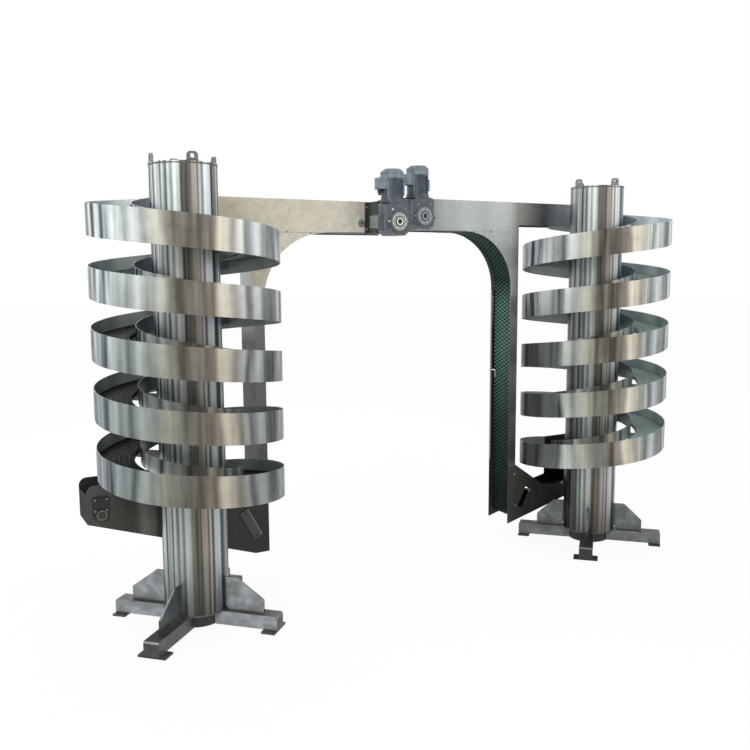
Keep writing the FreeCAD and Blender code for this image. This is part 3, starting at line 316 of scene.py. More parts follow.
def painted_reflection_steel(
    name, sweep, streaks, low_share, roughness, metallic=0.55, sway=0.035, inside=None, face_radius=None
):
    """Bright steel round a tower, with painted reflections: the bands and streaks that it would mirror.

    sweep gives its painted reflection round the tower, and streaks are (millimetres, weight) of the
    painted reflections and grain that run up and down it. low_share is how far painted shade darkens it
    towards the floor, and sway how far its bands wander. inside is the dark and the light hex of the
    painted shade on the faces that are nearer to the axis than face_radius.
    """
    material, tree, shader = new_material(name)
    x, y, z, on_right = tower_place(tree)
    lift = add(tree, ADD, add(tree, MULTIPLY, z, 0.01 + sway), add(tree, MULTIPLY, on_right, 3.7))
    share = add(tree, SPREAD, add(tree, ANGLE, y, x), -math.pi, math.pi)
    # painted reflection: the right tower is seen from farther round, so its bands lie a little farther on
    share = add(tree, ADD, share, add(tree, MULTIPLY, on_right, 0.05))
    wander = add(tree, SUBTRACT, clouds(tree, x, y, z, 385, 1.0), 0.5)
    share = add(tree, FRACTION, add(tree, ADD, share, add(tree, MULTIPLY, wander, sway)))
    colour = add(tree, RAMP, share, stops=sweep)
    colour.color_ramp.interpolation = "EASE"
    busy = add(tree, RAMP, share, stops=BUSY)
    for width, weight in streaks:
        streak = add(tree, SPREAD, clouds(tree, x, y, lift, width, 1.5), 0.36, 0.64)
        colour = add(tree, STREAK, add(tree, MULTIPLY, busy, weight), colour, streak)
    # painted reflection and shade: the lower turns mirror the darker part of a hall
    height = add(tree, SPREAD, z, 0.5, 2.1)
    depth = add(tree, RAMP, height, stops=LOW_SHADE_BY_HEIGHT)
    low_tones = [add(tree, RAMP, share, stops=stops) for stops in (LEFT_LOW_SHADE, RIGHT_LOW_SHADE)]
    low_tone = add(tree, MIX, on_right, *low_tones)
    low_part = add(tree, ADD, low_share, add(tree, MULTIPLY, on_right, 0.3))
    low_part = add(tree, LARGER, add(tree, MULTIPLY, depth, low_part), add(tree, MULTIPLY, on_right, 0.35))
    colour = add(tree, MIX, low_part, colour, add(tree, TINT, 1.0, colour, low_tone))
    colour = darkened(tree, 1.0, colour, z, (0.05, "#8a8984"), (0.42, "#ffffff"))
    smudge = clouds(tree, x, y, z, 58.8, 4.0, 0.65)
    colour = darkened(tree, 0.16, colour, smudge, (0.34, "#96968f"), (0.6, "#ffffff"))
    shine = metallic
    # painted shade: faces that look at the axis take the inside hexes in soft bands, darker low down, with
    # little gleam
    if inside:
        outward = add(tree, ABOVE, squared_reach(tree, x, y), face_radius**2)
        soft = add(tree, SPREAD, clouds(tree, x, y, lift, 167, 1.0), 0.35, 0.65)
        shade = add(tree, MIX, soft, *inside)
        shade = add(tree, MIX, depth, shade, add(tree, TINT, 1.0, shade, "#c8cecd"))
        colour = add(tree, MIX, outward, shade, colour)
        shine = add(tree, SPREAD, outward, 0.0, 1.0, 0.15, metallic)
    # painted reflection: caps and rims that look up show the plain roof
    facing = add(tree, SPLIT, add(tree, PLACE).outputs["Normal"]).outputs["Z"]
    colour = add(tree, MIX, add(tree, SPREAD, facing, 0.85, 0.95), colour, "#a4aaac")
    rough = add(tree, SPREAD, smudge, 0.3, 0.7, roughness - 0.05, roughness + 0.1)
    bump = add(tree, BUMP, Strength=0.15, Distance=0.004, Height=clouds(tree, x, y, lift, 143, 1.0))
    feed(tree, shader, Base_Color=colour, Metallic=shine, Roughness=rough, Normal=bump)
    return material


def plate_steel(
    name, tones, metallic, roughness, sweep=None, low="#ffffff", inside=None, inside_top=None, specular=0.5
):
    """Satin sheet with soft bands, scuffs and finger marks.

    tones are its dark and light hex, and low tints its lower end. sweep is a list of (x in metres,
    hex) of painted light and shade along the bridge. inside is the hex of the painted shade on the
    faces between the front and the back plates, and inside_top that of the painted light at their
    upper end, where the open bridge lets light in.
    """
    material, tree, shader = new_material(name)
    x, y, z = object_place(tree)
    bands = clouds(tree, x, y, add(tree, MULTIPLY, z, 0.12), 143)
    broad = clouds(tree, x, y, z, 417)
    both = add(tree, ADD, add(tree, MULTIPLY, bands, 0.55), add(tree, MULTIPLY, broad, 0.45))
    colour = add(tree, RAMP, both, stops=((0.36, tones[0]), (0.64, tones[1])))
    if sweep:
        first, last = sweep[0][0], sweep[-1][0]
        stops = [((spot - first) / (last - first), tint) for spot, tint in sweep]
        colour = darkened(tree, 1.0, colour, add(tree, SPREAD, x, first, last), *stops)
    scuffs = clouds(tree, x, y, z, 33.33, 4.0, 0.7)
    colour = darkened(tree, 0.3, colour, scuffs, (0.33, "#a5a39c"), (0.6, "#ffffff"))
    marks = clouds(tree, x, y, z, 13.33, 2.0, 0.6)
    colour = darkened(tree, 0.5, colour, marks, (0.27, "#8f8b80"), (0.33, "#ffffff"))
    height = add(tree, SPREAD, z, 0.3, 2.0)
    colour = darkened(tree, 1.0, colour, height, (0.0, low), (1.0, "#ffffff"))
    # painted shade between the front and the back plates, lighter at their open upper end
    if inside:
        between = add(tree, MULTIPLY, add(tree, ABOVE, y, FRONT_INSIDE), add(tree, BELOW, y, BACK_INSIDE))
        shade = add(tree, MIX, add(tree, SPREAD, z, 1.38, 1.62), inside, inside_top or inside)
        colour = add(tree, MIX, between, colour, add(tree, MIX, 0.2, shade, colour))
    rough = add(tree, SPREAD, scuffs, 0.3, 0.7, roughness - 0.08, roughness + 0.1)
    bump = add(tree, BUMP, Strength=0.1, Distance=0.003, Height=broad)
    feed(tree, shader, Base_Color=colour, Metallic=metallic, Roughness=rough, Normal=bump)
    feed(tree, shader, Specular_IOR_Level=specular)
    return material


def bar_steel(name, light, dark, top, end):
    """Ground bar with painted light and shade by facing: hexes of the faces towards -X -Y, of the
    others, of what looks up and of the ends.
    """
    material, tree, shader = new_material(name)
    x, y, z, on_right = tower_place(tree)
    normal = add(tree, PLACE).outputs["Normal"]
    side = add(tree, DOT, normal, (-0.707, -0.707, 0.0))
    colour = add(tree, RAMP, side, stops=((0.15, dark), (0.75, light)))
    away = add(tree, DOT, normal, add(tree, NORMALIZE, add(tree, JOIN, x, y)))
    colour = add(tree, MIX, add(tree, SPREAD, away, 0.75, 0.9), colour, end)
    facing = add(tree, SPLIT, normal).outputs["Z"]
    # painted highlight where the rounded edges turn between a side and the top
    edge = add(tree, RAMP, facing, stops=EDGE_LIGHT)
    colour = add(tree, MIX, edge, colour, "#b9bec0")
    colour = add(tree, MIX, add(tree, SPREAD, facing, 0.85, 0.95), colour, top)
    # painted shade: the right tower stands deeper in the hall
    colour = add(tree, MIX, on_right, colour, add(tree, TINT, 1.0, colour, "#c0c0be"))
    broad = clouds(tree, x, y, z, 111, 2.0, 0.55)
    colour = darkened(tree, 1.0, colour, broad, (0.34, "#c6c6c4"), (0.62, "#ffffff"))
    scuffs = clouds(tree, x, y, z, 29.4, 4.0, 0.7)
    colour = darkened(tree, 0.5, colour, scuffs, (0.36, "#9a9a97"), (0.6, "#ffffff"))
    rough = add(tree, SPREAD, scuffs, 0.3, 0.7, 0.34, 0.5)
    feed(tree, shader, Base_Color=colour, Metallic=0.3, Roughness=rough)
    return material


def dusted(tree, width, colour, dust):
    """One colour with faint dust, in spots that are width millimetres wide."""
    place = add(tree, PLACE).outputs["Object"]
    grain = add(tree, NOISE, place, Scale=1000 / width, Detail=3.0)
    return add(tree, MIX, add(tree, SPREAD, grain, 0.35, 0.75), colour, dust)


def moulded(name, colour, dust, roughness, width):
    """Moulded plastic or enamel: one colour with faint unevenness and dirt."""
    material, tree, shader = new_material(name)
    colour = dusted(tree, width, colour, dust)
    feed(tree, shader, Base_Color=colour, Metallic=0.0, Roughness=roughness)
    return material


def belt_plastic(name, colour, dust):
    """Moulded belt, paler where it catches the hall's light under the bridge and dark low in the legs."""
    material, tree, shader = new_material(name)
    x, y, z, on_right = tower_place(tree)
    colour = dusted(tree, 33.33, colour, dust)
    height = add(tree, SPREAD, z, 0.3, 1.7)
    colour = darkened(tree, 1.0, colour, height, *BELT_BY_HEIGHT)
    # in the spirals painted shade and dust leave little of the green: the left spiral dark up to its top
    # turn, the right one pale with painted light above its foot
    spiral = add(tree, BELOW, squared_reach(tree, x, y), 0.452**2)
    left_spiral_shade = add(tree, RAMP, height, stops=((0.6, "#171c1b"), (0.9, "#242c2a"), (1.0, "#46605a")))
    right_spiral_shading = add(tree, RAMP, height, stops=((0.17, "#151b19"), (0.20, "#aec3bf")))
    colour = add(tree, MIX, spiral, colour, add(tree, MIX, on_right, left_spiral_shade, right_spiral_shading))
    feed(tree, shader, Base_Color=colour, Roughness=0.5, Specular_IOR_Level=0.06)
    return material


def plain_metal(name, colour, roughness, metallic=1.0):
    """Machined metal of one tone. Its turning marks, drawn 8 mm wide to show, vary its roughness."""
    material, tree, shader = new_material(name)
    grain = add(tree, NOISE, add(tree, PLACE).outputs["Object"], Scale=1000 / 8.333, Detail=2.0)
    rough = add(tree, SPREAD, grain, 0.3, 0.7, roughness - 0.08, roughness + 0.08)
    feed(tree, shader, Base_Color=colour, Metallic=metallic, Roughness=rough)
    return material


# Finishes

finishes = {}


def make_finishes():
    """Makes every material once."""
    colours = bpy.context.scene.conveyor_colours
    # 304 stainless, cold rolled and curved on rolls, with painted reflections: bright bands between grey
    # ones
    finishes["rolled_stainless"] = painted_reflection_steel(
        "rolled_stainless_sheet",
        GUARD_PAINTED_REFLECTION,
        ((50.0, 0.5), (20.83, 0.2)),
        1.0,
        0.32,
        inside=("#bcc6cb", "#f4fafc"),
        face_radius=BACK_INSIDE,
    )
    # inner guards: the same sheet, a little duller from handling, with painted shade on the faces towards
    # the column
    finishes["inner_stainless"] = painted_reflection_steel(
        "rolled_stainless_inner",
        GUARD_PAINTED_REFLECTION,
        ((55.56, 0.5), (25.0, 0.2)),
        0.6,
        0.36,
        metallic=0.3,
        inside=("#69737b", "#949ea5"),
        face_radius=FRONT_INSIDE,
    )
    # welded stainless pipe, belt ground along its length: painted reflections, with thin hard streaks
    finishes["ground_pipe"] = painted_reflection_steel(
        "ground_stainless_pipe", COLUMN_PAINTED_REFLECTION, ((16.67, 0.3), (8.333, 0.25)), 0.6, 0.34, sway=0.004
    )
    # dull sheet of the deck under the belt: flat grey with hardly a gleam
    finishes["deck_sheet"] = plate_steel("dull_sheet_deck", ("#4e5352", "#6d7270"), 0.5, 0.42)
    # ground bar and box section of bases and arms: duller grey, with painted light and shade by facing
    finishes["ground_bar"] = bar_steel("ground_stainless_bar", "#a2a8ac", "#565b5e", "#555652", "#484b4c")
    # the hubs and foot plates: the same steel in painted shade, darker near the floor
    finishes["dark_bar"] = bar_steel("shaded_stainless_bar", "#53575a", "#3c3f40", "#4d4f4e", "#383836")
    # arms and lugs: the same steel, with an even soft sheen
    finishes["plain_bar"] = plate_steel("ground_stainless_fitting", ("#5d6164", "#8e9396"), 0.4, 0.4)
    # satin sheet of the left beam, warm with painted reflection, with painted light along it and painted
    # shade between its plates
    finishes["warm_sheet"] = plate_steel(
        "satin_sheet_warm", ("#dedacd", colours.warm_plate), 0.4, 0.42, WARM_SWEEP, inside="#3a3d3b"
    )
    # satin sheet of the right beam, cool with painted reflection, with painted shade towards its tower and
    # between its plates
    finishes["cool_sheet"] = plate_steel(
        "satin_sheet_cool", ("#a3a7a6", colours.cool_plate), 0.35, 0.4, COOL_SWEEP, inside="#4a4e4d"
    )
    # unpolished sheet of legs and decks: matt and pale, with painted shade between the plates and painted
    # light at their open top
    finishes["leg_sheet"] = plate_steel(
        "matt_sheet_legs",
        ("#84857f", "#a4a59e"),
        0.4,
        0.45,
        low="#5d5e5c",
        inside="#1f2221",
        inside_top="#cdd2d0",
    )
    # dark sheet of the lower plates, with broad dull painted highlights, a painted light band and painted
    # shade between the plates
    finishes["dark_sheet"] = plate_steel(
        "dark_lower_sheet", ("#5d5c58", "#90908b"), 0.3, 0.48, LOWER_SWEEP, "#d0d0cc", "#2c2d2c"
    )
    # bar over the slot: the same sheet, a little darker
    finishes["bar_sheet"] = plate_steel("dark_slot_bar_sheet", ("#3c3b38", "#4e4d49"), 0.3, 0.45)
    # the same sheet on the end plates, nearly black with painted shade
    finishes["shaded_sheet"] = plate_steel(
        "shaded_sheet_ends", ("#151412", "#262522"), 0.0, 0.6, inside="#151616", specular=0.1
    )
    # moulded acetal of the belt, dulled by dust
    finishes["acetal_belt"] = belt_plastic("moulded_acetal_green", colours.belt, "#58786f")
    # the belt's body in the shade of its fingers: nearly black green
    finishes["acetal_shade"] = belt_plastic("moulded_acetal_shade", "#1d322c", "#16241f")
    # painted highlights on the edges of castings and on pale ribs: paler and drier than the enamel round
    # them
    finishes["highlight_enamel"] = moulded("painted_highlight_enamel", "#868f96", "#5d666d", 0.4, 11.11)
    # turned flange faces: bright on the left drive, and on the right one duller and darker with painted
    # shade
    finishes["flange_left"] = plain_metal("turned_flange_face", "#9f9f9b", 0.36, 0.85)
    finishes["flange_right"] = plain_metal("shaded_flange_face", "#83888a", 0.4, 0.85)
    # sprayed slate enamel on cast aluminium: smooth, with a soft highlight on each edge
    finishes["slate_enamel"] = moulded("sprayed_enamel_slate", colours.drive, "#363d44", 0.34, 29.41)
    # enamel of the terminal boxes and cowls: paler and bluer
    finishes["pale_enamel"] = moulded("sprayed_enamel_pale", "#7d8992", "#5b656d", 0.36, 38.46)
    # enamel of the stand-off bracket: nearly black, with a faint sheen
    finishes["dark_enamel"] = moulded("sprayed_enamel_dark", "#31383b", "#23292b", 0.42, 55.56)
    # turned steel rings: bright, with narrow gleams
    finishes["turned_steel"] = plain_metal("turned_steel", "#d6d5cf", 0.28)
    # shaft ends and screw heads in the shade: grey without a gleam
    finishes["dull_steel"] = plain_metal("dull_shaft_steel", "#9a9a96", 0.45, 0.7)
    # browned steel of the bearing rings: dark, with a low warm sheen
    finishes["brown_steel"] = plain_metal("browned_bearing_steel", "#3a3431", 0.5, 0.4)
    # zinc plated screws: small bright dots
    finishes["zinc_screw"] = plain_metal("zinc_plated_screw", "#d2d1ca", 0.3)
    # black bearing housings, cable glands and strips: matt and even
    finishes["black_housing"] = moulded("black_cast_housing", "#1a1b1c", "#0e0f10", 0.5, 33.33)
    # bead of stainless weld, heat tinted: darker and duller than the sheet beside it
    finishes["weld_bead"] = plain_metal("stainless_weld_bead", "#5f5d58", 0.5, 0.6)
    # ground and polished weld of the guard seams: a thin darker line across the bands
    finishes["ground_seam"] = plain_metal("ground_weld_seam", "#8b8880", 0.4, 0.6)
    # blank plate of blue anodised aluminium: satin, paler where it faces the light
    finishes["blue_plate"] = plain_metal("blue_anodised_plate", "#6f93b8", 0.4, 0.5)


# Finish of the part's own nodes by the start of their names; the others are turned steel.
FINISH_OF = (
    ("outer_guard", "rolled_stainless"),
    ("inner_guard", "inner_stainless"),
    ("track_deck", "deck_sheet"),
    ("column", "ground_pipe"),
    ("base_hubs", "dark_bar"),
    ("base_", "ground_bar"),
    ("foot_", "dark_bar"),
    ("support_arms", "plain_bar"),
    ("lifting", "plain_bar"),
    ("bridge_plates_left", "warm_sheet"),
    ("bridge_plates_right", "cool_sheet"),
    ("bridge_decks", "leg_sheet"),
    ("end_plates", "shaded_sheet"),
    ("end_", "dark_sheet"),
    ("leg_", "leg_sheet"),
    ("lower_", "dark_sheet"),
    ("slot_cover", "bar_sheet"),
    ("chain", "acetal_shade"),
    ("gearboxes", "slate_enamel"),
    ("motor", "slate_enamel"),
    ("fan_", "pale_enamel"),
    ("terminal", "pale_enamel"),
    ("drive_bracket", "dark_enamel"),
    ("tail_bearing_blocks", "black_housing"),
    ("tail_bearing_bosses", "brown_steel"),
    ("bridge_idler", "cool_sheet"),
)


# Shapes

# Turns the Z axis to another one.
TURN_TO = {
    "X": Matrix.Rotation(math.pi / 2, 4, "Y"),
    "Y": Matrix.Rotation(math.pi / 2, 4, "X"),
    "Z": Matrix.Identity(4),
}


def add_box(mesh, size, centre, turn=None):
    """Box in a bmesh, turned about its centre."""
    matrix = Matrix.Translation(centre) @ (turn or Matrix.Identity(4)) @ Matrix.Diagonal((*size, 1.0))
    return bmesh.ops.create_cube(mesh, size=1.0, matrix=matrix)["verts"]


def add_rod(mesh, radius, length, centre, axis="Z", sides=24, tip=None):
    """Cylinder in a bmesh along an axis, or a cone where its tip has another radius."""
    return bmesh.ops.create_cone(
        mesh,
        cap_ends=True,
        segments=sides,
        radius1=radius,
        radius2=radius if tip is None else tip,
        depth=length,
        matrix=Matrix.Translation(centre) @ TURN_TO[axis],
    )["verts"]


def add_ring(mesh, outer, inner, length, centre, axis="Y", sides=40):
    """Flat ring in a bmesh: a tube wall spun from one quad."""
    before = set(mesh.verts)
    corners = ((inner, -length / 2), (outer, -length / 2), (outer, length / 2), (inner, length / 2))
    section = mesh.faces.new([mesh.verts.new((radius, 0, height)) for radius, height in corners])
    bmesh.ops.spin(
        mesh, geom=[section], cent=(0, 0, 0), axis=(0, 0, 1), angle=math.tau, steps=sides, use_merge=True
    )
    verts = [vert for vert in mesh.verts if vert not in before]
    bmesh.ops.recalc_face_normals(mesh, faces=list({face for vert in verts for face in vert.link_faces}))
    bmesh.ops.transform(mesh, matrix=Matrix.Translation(centre) @ TURN_TO[axis], verts=verts)


def bevel_edges(mesh, verts, width, segments=2):
    """Bevels every edge of a new shape."""
    edges = list({edge for vert in verts for edge in vert.link_edges})
    bmesh.ops.bevel(
        mesh, geom=edges, offset=width, segments=segments, profile=0.5, affect="EDGES", material=-1
    )


def new_object(name, mesh):
    """Object of a bmesh, at the origin."""
    data = bpy.data.meshes.new(name)
    mesh.to_mesh(data)
    mesh.free()
    made = bpy.data.objects.new(name, data)
    bpy.context.scene.collection.objects.link(made)
    return made


def finish_piece(name, mesh, finish, smooth=False):
    """Makes the object of a bmesh, with its finish, and lets it ride on the part."""
    piece = new_object(name, mesh)
    piece.data.materials.append(finishes[finish])
    if smooth:
        for polygon in piece.data.polygons:
            polygon.use_smooth = True
        piece.data.set_sharp_from_angle(angle=math.radians(35))
    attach(piece, "root")


def along(side, distance):
    """X of a place that lies a distance from a tower's axis towards the middle."""
    return side * (TOWER_X - distance)


def around(centre, radius, angle):
    """Place at an angle in degrees round an upright axis."""
    return Vector(centre) + Matrix.Rotation(math.radians(angle), 3, "Z") @ Vector((radius, 0, 0))


def turned_by(angle):
    """Turn by an angle in degrees about an upright axis."""
    return Matrix.Rotation(math.radians(angle), 4, "Z")


def spiral_ends(side):
    """Top of the guard at the lower and the upper end of a spiral."""
    name = SIDES[side]
    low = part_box(f"outer_guard_{name}_1")[0].z + GUARD_HEIGHT
    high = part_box(f"outer_guard_{name}_{TURNS}")[1].z
    return low, high


def guard_top(side, angle, turn):
    """Height of the guard's top edge at an angle in degrees on a turn counted from 0."""
    low, high = spiral_ends(side)
    swept = (angle - 90) % 360 if side == RIGHT else (90 - angle) % 360
    return low + (turn + swept / 360) * (high - low) / TURNS


# The belt

FINGERS = 7
BELT_WIDTH = 0.168
BELT_INNER = 0.282
BELT_MIDDLE = BELT_INNER + BELT_WIDTH / 2
# half the thickness of the plain chain, and how far the middle of its straight and its spiral part
# lies under the guard's top
CHAIN_HALF = 0.008
STRAIGHT_DROP = 0.073
SPIRAL_DROP = 0.0652
# radius at which the chain goes round a sprocket
WRAP = 0.049
# How far the chain's middle lies inside the leg, and farther out than the plates' arch.
CHAIN_IN_LEG = 0.020
ARCH_MARGIN = 0.027
# Straight runs of a side: underside of the bridge plates, place of the leg and radius of its arch,
# height and place of the slope's lower tip, and height of its upper end.
RUNS = {
    LEFT: {"bottom": 1.982, "leg": 0.460, "arch": 0.399, "tip": 0.217, "tip_place": 0.415, "end": 0.508},
    RIGHT: {"bottom": 2.007, "leg": 0.442, "arch": 0.377, "tip": 0.115, "tip_place": 0.472, "end": 0.344},
}


def belt_route(side):
    """Middle line of the straight runs of a chain: corners with their bend radii, in X and Z."""
    low, high = spiral_ends(side)
    axis = AXIS_HEIGHT[side]
    run = RUNS[side]
    under = run["bottom"] + 0.009
    slope = (run["end"] + 0.009 - run["tip"]) / (run["tip_place"] + 0.477)
    reach = TOWER_X - 0.120
    tail_axis = low - TAIL_DROP
    route = (
        (0.0, high - STRAIGHT_DROP, 0.0),
        (reach - 3 * WRAP, axis + WRAP, 0.0),
        (reach + WRAP, axis + WRAP, WRAP),
        (reach + WRAP, axis - WRAP, WRAP),
        (reach - 3 * WRAP, axis - WRAP, 0.0),
        (run["leg"] + 1.3 * run["arch"], under, 0.0),
        (run["leg"], under, run["arch"]),
        (run["leg"], run["tip"] + (run["tip_place"] - run["leg"]) * slope, 0.050),
        (WRAP - TAIL_REACH, tail_axis - WRAP, 0.0),
        (-WRAP - TAIL_REACH, tail_axis - WRAP, WRAP),
        (-WRAP - TAIL_REACH, tail_axis + WRAP, WRAP),
        (3 * WRAP - TAIL_REACH, tail_axis + WRAP, 0.0),
        (0.0, low - STRAIGHT_DROP, 0.0),
    )
    return [(Vector((along(side, distance), 0.0, height)), radius) for distance, height, radius in route]


def route_points(route, step):
    """Points at equal steps along a route, each with its direction."""
    line = []
    for index, (corner, radius) in enumerate(route):
        if radius <= 0:
            line.append(corner)
            continue
        incoming = (corner - route[index - 1][0]).normalized()
        outgoing = (route[index + 1][0] - corner).normalized()
        bend = incoming.angle(outgoing)
        reach = radius * math.tan(bend / 2)
        centre = corner + (outgoing - incoming).normalized() * (radius / math.cos(bend / 2))
        start = corner - incoming * reach - centre
        axis = incoming.cross(outgoing).normalized()
        count = max(3, round(bend * radius / 0.01))
        for number in range(count + 1):
            line.append(centre + Matrix.Rotation(bend * number / count, 3, axis) @ start)
    placed = []
    travelled = 0.0
    wanted = step / 2
    for near, far in zip(line, line[1:]):
        length = (far - near).length
        while length > 0 and wanted <= travelled + length:
            placed.append((near.lerp(far, (wanted - travelled) / length), (far - near).normalized()))
            wanted += step
        travelled += length
    return placed


def finger_row(name, pitch, rise, inner_radius=None):
    """Mesh of one row of fingers: X along the belt, Y across it from the inner edge, Z off the belt."""
    mesh = bmesh.new()
    cell = BELT_WIDTH / FINGERS
    for number in range(FINGERS):
        across = (number + 0.5) * cell
        stretch = (inner_radius + across) / (inner_radius + BELT_WIDTH / 2) if inner_radius else 1.0
        shift = (0.25 if number % 2 else -0.25) * pitch * stretch
        size = (pitch * 0.62 * stretch, cell * 0.8, rise)
        verts = add_box(mesh, size, (shift, across, rise / 2))
        top = [vert for vert in verts if vert.co.z > rise * 0.9]
        middle = sum((vert.co for vert in top), Vector()) / 4
        bmesh.ops.scale(mesh, vec=(0.72, 0.8, 1.0), space=Matrix.Translation(-middle), verts=top)
    row = bpy.data.meshes.new(name)
    mesh.to_mesh(row)
    mesh.free()
    return row


def lay_rows(mesh, row, places):
    """Copies a row to each place, given as a matrix, and deletes the first one."""
    for matrix in places:
        count = len(mesh.verts)
        mesh.from_mesh(row)
        mesh.verts.ensure_lookup_table()
        bmesh.ops.transform(mesh, matrix=matrix, verts=mesh.verts[count:])
    bpy.data.meshes.remove(row)


def frame_matrix(origin, x_axis, y_axis, z_axis):
    """Matrix that puts the three axes at a place."""
    rows = [(x_axis[row], y_axis[row], z_axis[row], origin[row]) for row in range(3)]
    return Matrix((*rows, (0.0, 0.0, 0.0, 1.0)))


def spiral_places(side):
    """Matrix of each row of the belt's spiral."""
    low, high = spiral_ends(side)
    rise = (high - low) / TURNS
    climb = Vector((0, 0, -side * rise / (math.tau * BELT_MIDDLE)))
    for row in range(TURNS * ROWS_PER_TURN):
        turn = (row + 0.5) / ROWS_PER_TURN
        outward = around((0, 0, 0), 1.0, 90 + side * 360 * turn)
        forward = (outward.cross(Vector((0, 0, 1))) + climb).normalized()
        up = forward.cross(outward)
        origin = Vector((side * TOWER_X, 0.0, low + turn * rise - SPIRAL_DROP)) + outward * BELT_INNER
        yield frame_matrix(origin, forward, outward, up if up.z > 0 else -up)


def straight_places(side, pitch):
    """Matrix of each row of the belt's straight runs."""
    outward = Vector((0, 1, 0))
    for point, forward in route_points(belt_route(side), pitch):
        off = forward.cross(outward) * -side
        origin = Vector((point.x, BELT_INNER, point.z)) + off * CHAIN_HALF
        yield frame_matrix(origin, forward, outward, off)


def belt(side):
    """Fingers of one belt, all the way round its spiral and its straight runs."""
    sizes = bpy.context.scene.conveyor_sizes
    mesh = bmesh.new()
    fan = finger_row("fan_row", math.tau * BELT_MIDDLE / ROWS_PER_TURN, sizes.belt_rise, BELT_INNER)
    lay_rows(mesh, fan, spiral_places(side))
    straight = finger_row("straight_row", sizes.belt_pitch, sizes.belt_rise)
    lay_rows(mesh, straight, straight_places(side, sizes.belt_pitch))
    bmesh.ops.recalc_face_normals(mesh, faces=mesh.faces)
    finish_piece(f"belt_fingers_{SIDES[side]}", mesh, "acetal_belt")


# Guards and columns


def guard_seams():
    """Ground welds where the sheets of the outer guards meet, with their tacks."""
    width = bpy.context.scene.conveyor_sizes.seam_width
    mesh = bmesh.new()
    for side in (LEFT, RIGHT):
        for start, first in ((267.5, 0), (90, 1)):
            for turn in range(first, TURNS):
                angle = start + 0.4 * turn
                height = guard_top(side, angle, turn) - GUARD_HEIGHT / 2
                centre = around((side * TOWER_X, 0, height), GUARD_RADIUS, angle)
                add_box(mesh, (0.0012, width, 0.146), centre, turned_by(angle))
                for number in range(9):
                    tack = centre + Vector((0, 0, -0.066 + number * 0.0165))
                    add_box(mesh, (0.0016, width * 1.7, 0.004), tack, turned_by(angle))
    finish_piece("guard_seams", mesh, "ground_seam")


def column_fittings():
    """Weld rings of the columns' caps and feet, and the lugs' fillets."""
    mesh = bmesh.new()
    cap_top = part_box("column_caps")[1].z
    for side in (LEFT, RIGHT):
        x = side * TOWER_X
        add_ring(mesh, 0.1640, 0.1600, 0.006, (x, 0, cap_top - 0.009), "Z", 72)
        add_ring(mesh, 0.1650, 0.1600, 0.008, (x, 0, 0.083), "Z", 72)
        for angle in (0, 90, 180, 270):
            place = around((x, 0, cap_top + 0.001), LUG_RADIUS, angle)
            bevel_edges(mesh, add_box(mesh, (0.017, 0.060, 0.006), place, turned_by(angle)), 0.0025, 1)
    finish_piece("column_welds", mesh, "weld_bead", smooth=True)


def base_welds():
    """Weld beads along the gussets, the legs and the foot plates."""
    bead = bpy.context.scene.conveyor_sizes.weld_width / 2
    hub, foot = 0.184, 0.417
    mesh = bmesh.new()
    for side, reach in ((LEFT, 0.367), (RIGHT, 0.334)):
        for angle in (45, 135, 225, 315):
            verts = []
            for edge in (-0.005, 0.005):
                verts += add_rod(mesh, bead, 0.140, (0.1640, edge, 0.174), "Z", 8)
                verts += add_rod(mesh, bead, reach - hub, ((reach + hub) / 2, edge, 0.0805), "X", 8)
            for edge in (-0.040, 0.040):
                verts += add_rod(mesh, bead, 0.066, (foot, edge, 0.0115), "X", 8)
                verts += add_rod(mesh, bead, 0.066, (0.128, edge * 0.9, 0.045), "Z", 8)
            verts += add_rod(mesh, bead * 0.8, 0.076, (foot - 0.036, 0, 0.0115), "Y", 8)
            place = Matrix.Translation((side * TOWER_X, 0, 0)) @ turned_by(angle)
            bmesh.ops.transform(mesh, matrix=place, verts=verts)
    finish_piece("base_weld_beads", mesh, "weld_bead", smooth=True)


# Bridge and lower plates


def bolt(mesh, place, size, axis="Y"):
    """Hexagon screw with its washer, on a face that looks at the front or, along Z, upwards."""
    outward = Vector((0, 0, 1)) if axis == "Z" else Vector((0, -1, 0))
    washer, head = 0.002, size * 0.6
    add_rod(mesh, size * 0.95, washer, Vector(place) + outward * (washer / 2), axis, 20)
    add_rod(mesh, size * 0.62, head, Vector(place) + outward * (washer + head / 2), axis, 6)


def bridge_trim():
    """Lips, seams and weld spots of the bridge plates."""
    mesh = bmesh.new()
    for side, run in RUNS.items():
        bottom = run["bottom"]
        start = run["leg"] - CHAIN_IN_LEG
        radius = run["arch"] - ARCH_MARGIN
        near = start + LEG_WIDTH + radius
        length = TOWER_X - near
        for y in (FRONT_FACE, BACK_FACE):
            add_box(mesh, (length, 0.0014, 0.006), (along(side, near + length / 2), y, bottom + 0.004))
        seam = along(side, (start + near) / 2)
        add_box(mesh, (radius + 0.05, 0.0008, 0.0022), (seam, 0.2468, bottom + 0.0012))
        for distance, height in ((0.64, 0.004), (0.78, -0.001)):
            spot = add_rod(mesh, 0.006, 0.006, (along(side, distance), 0.2462, bottom + height), "Y", 10)
            bevel_edges(mesh, spot, 0.0015, 1)
    finish_piece("bridge_seams", mesh, "ground_seam")


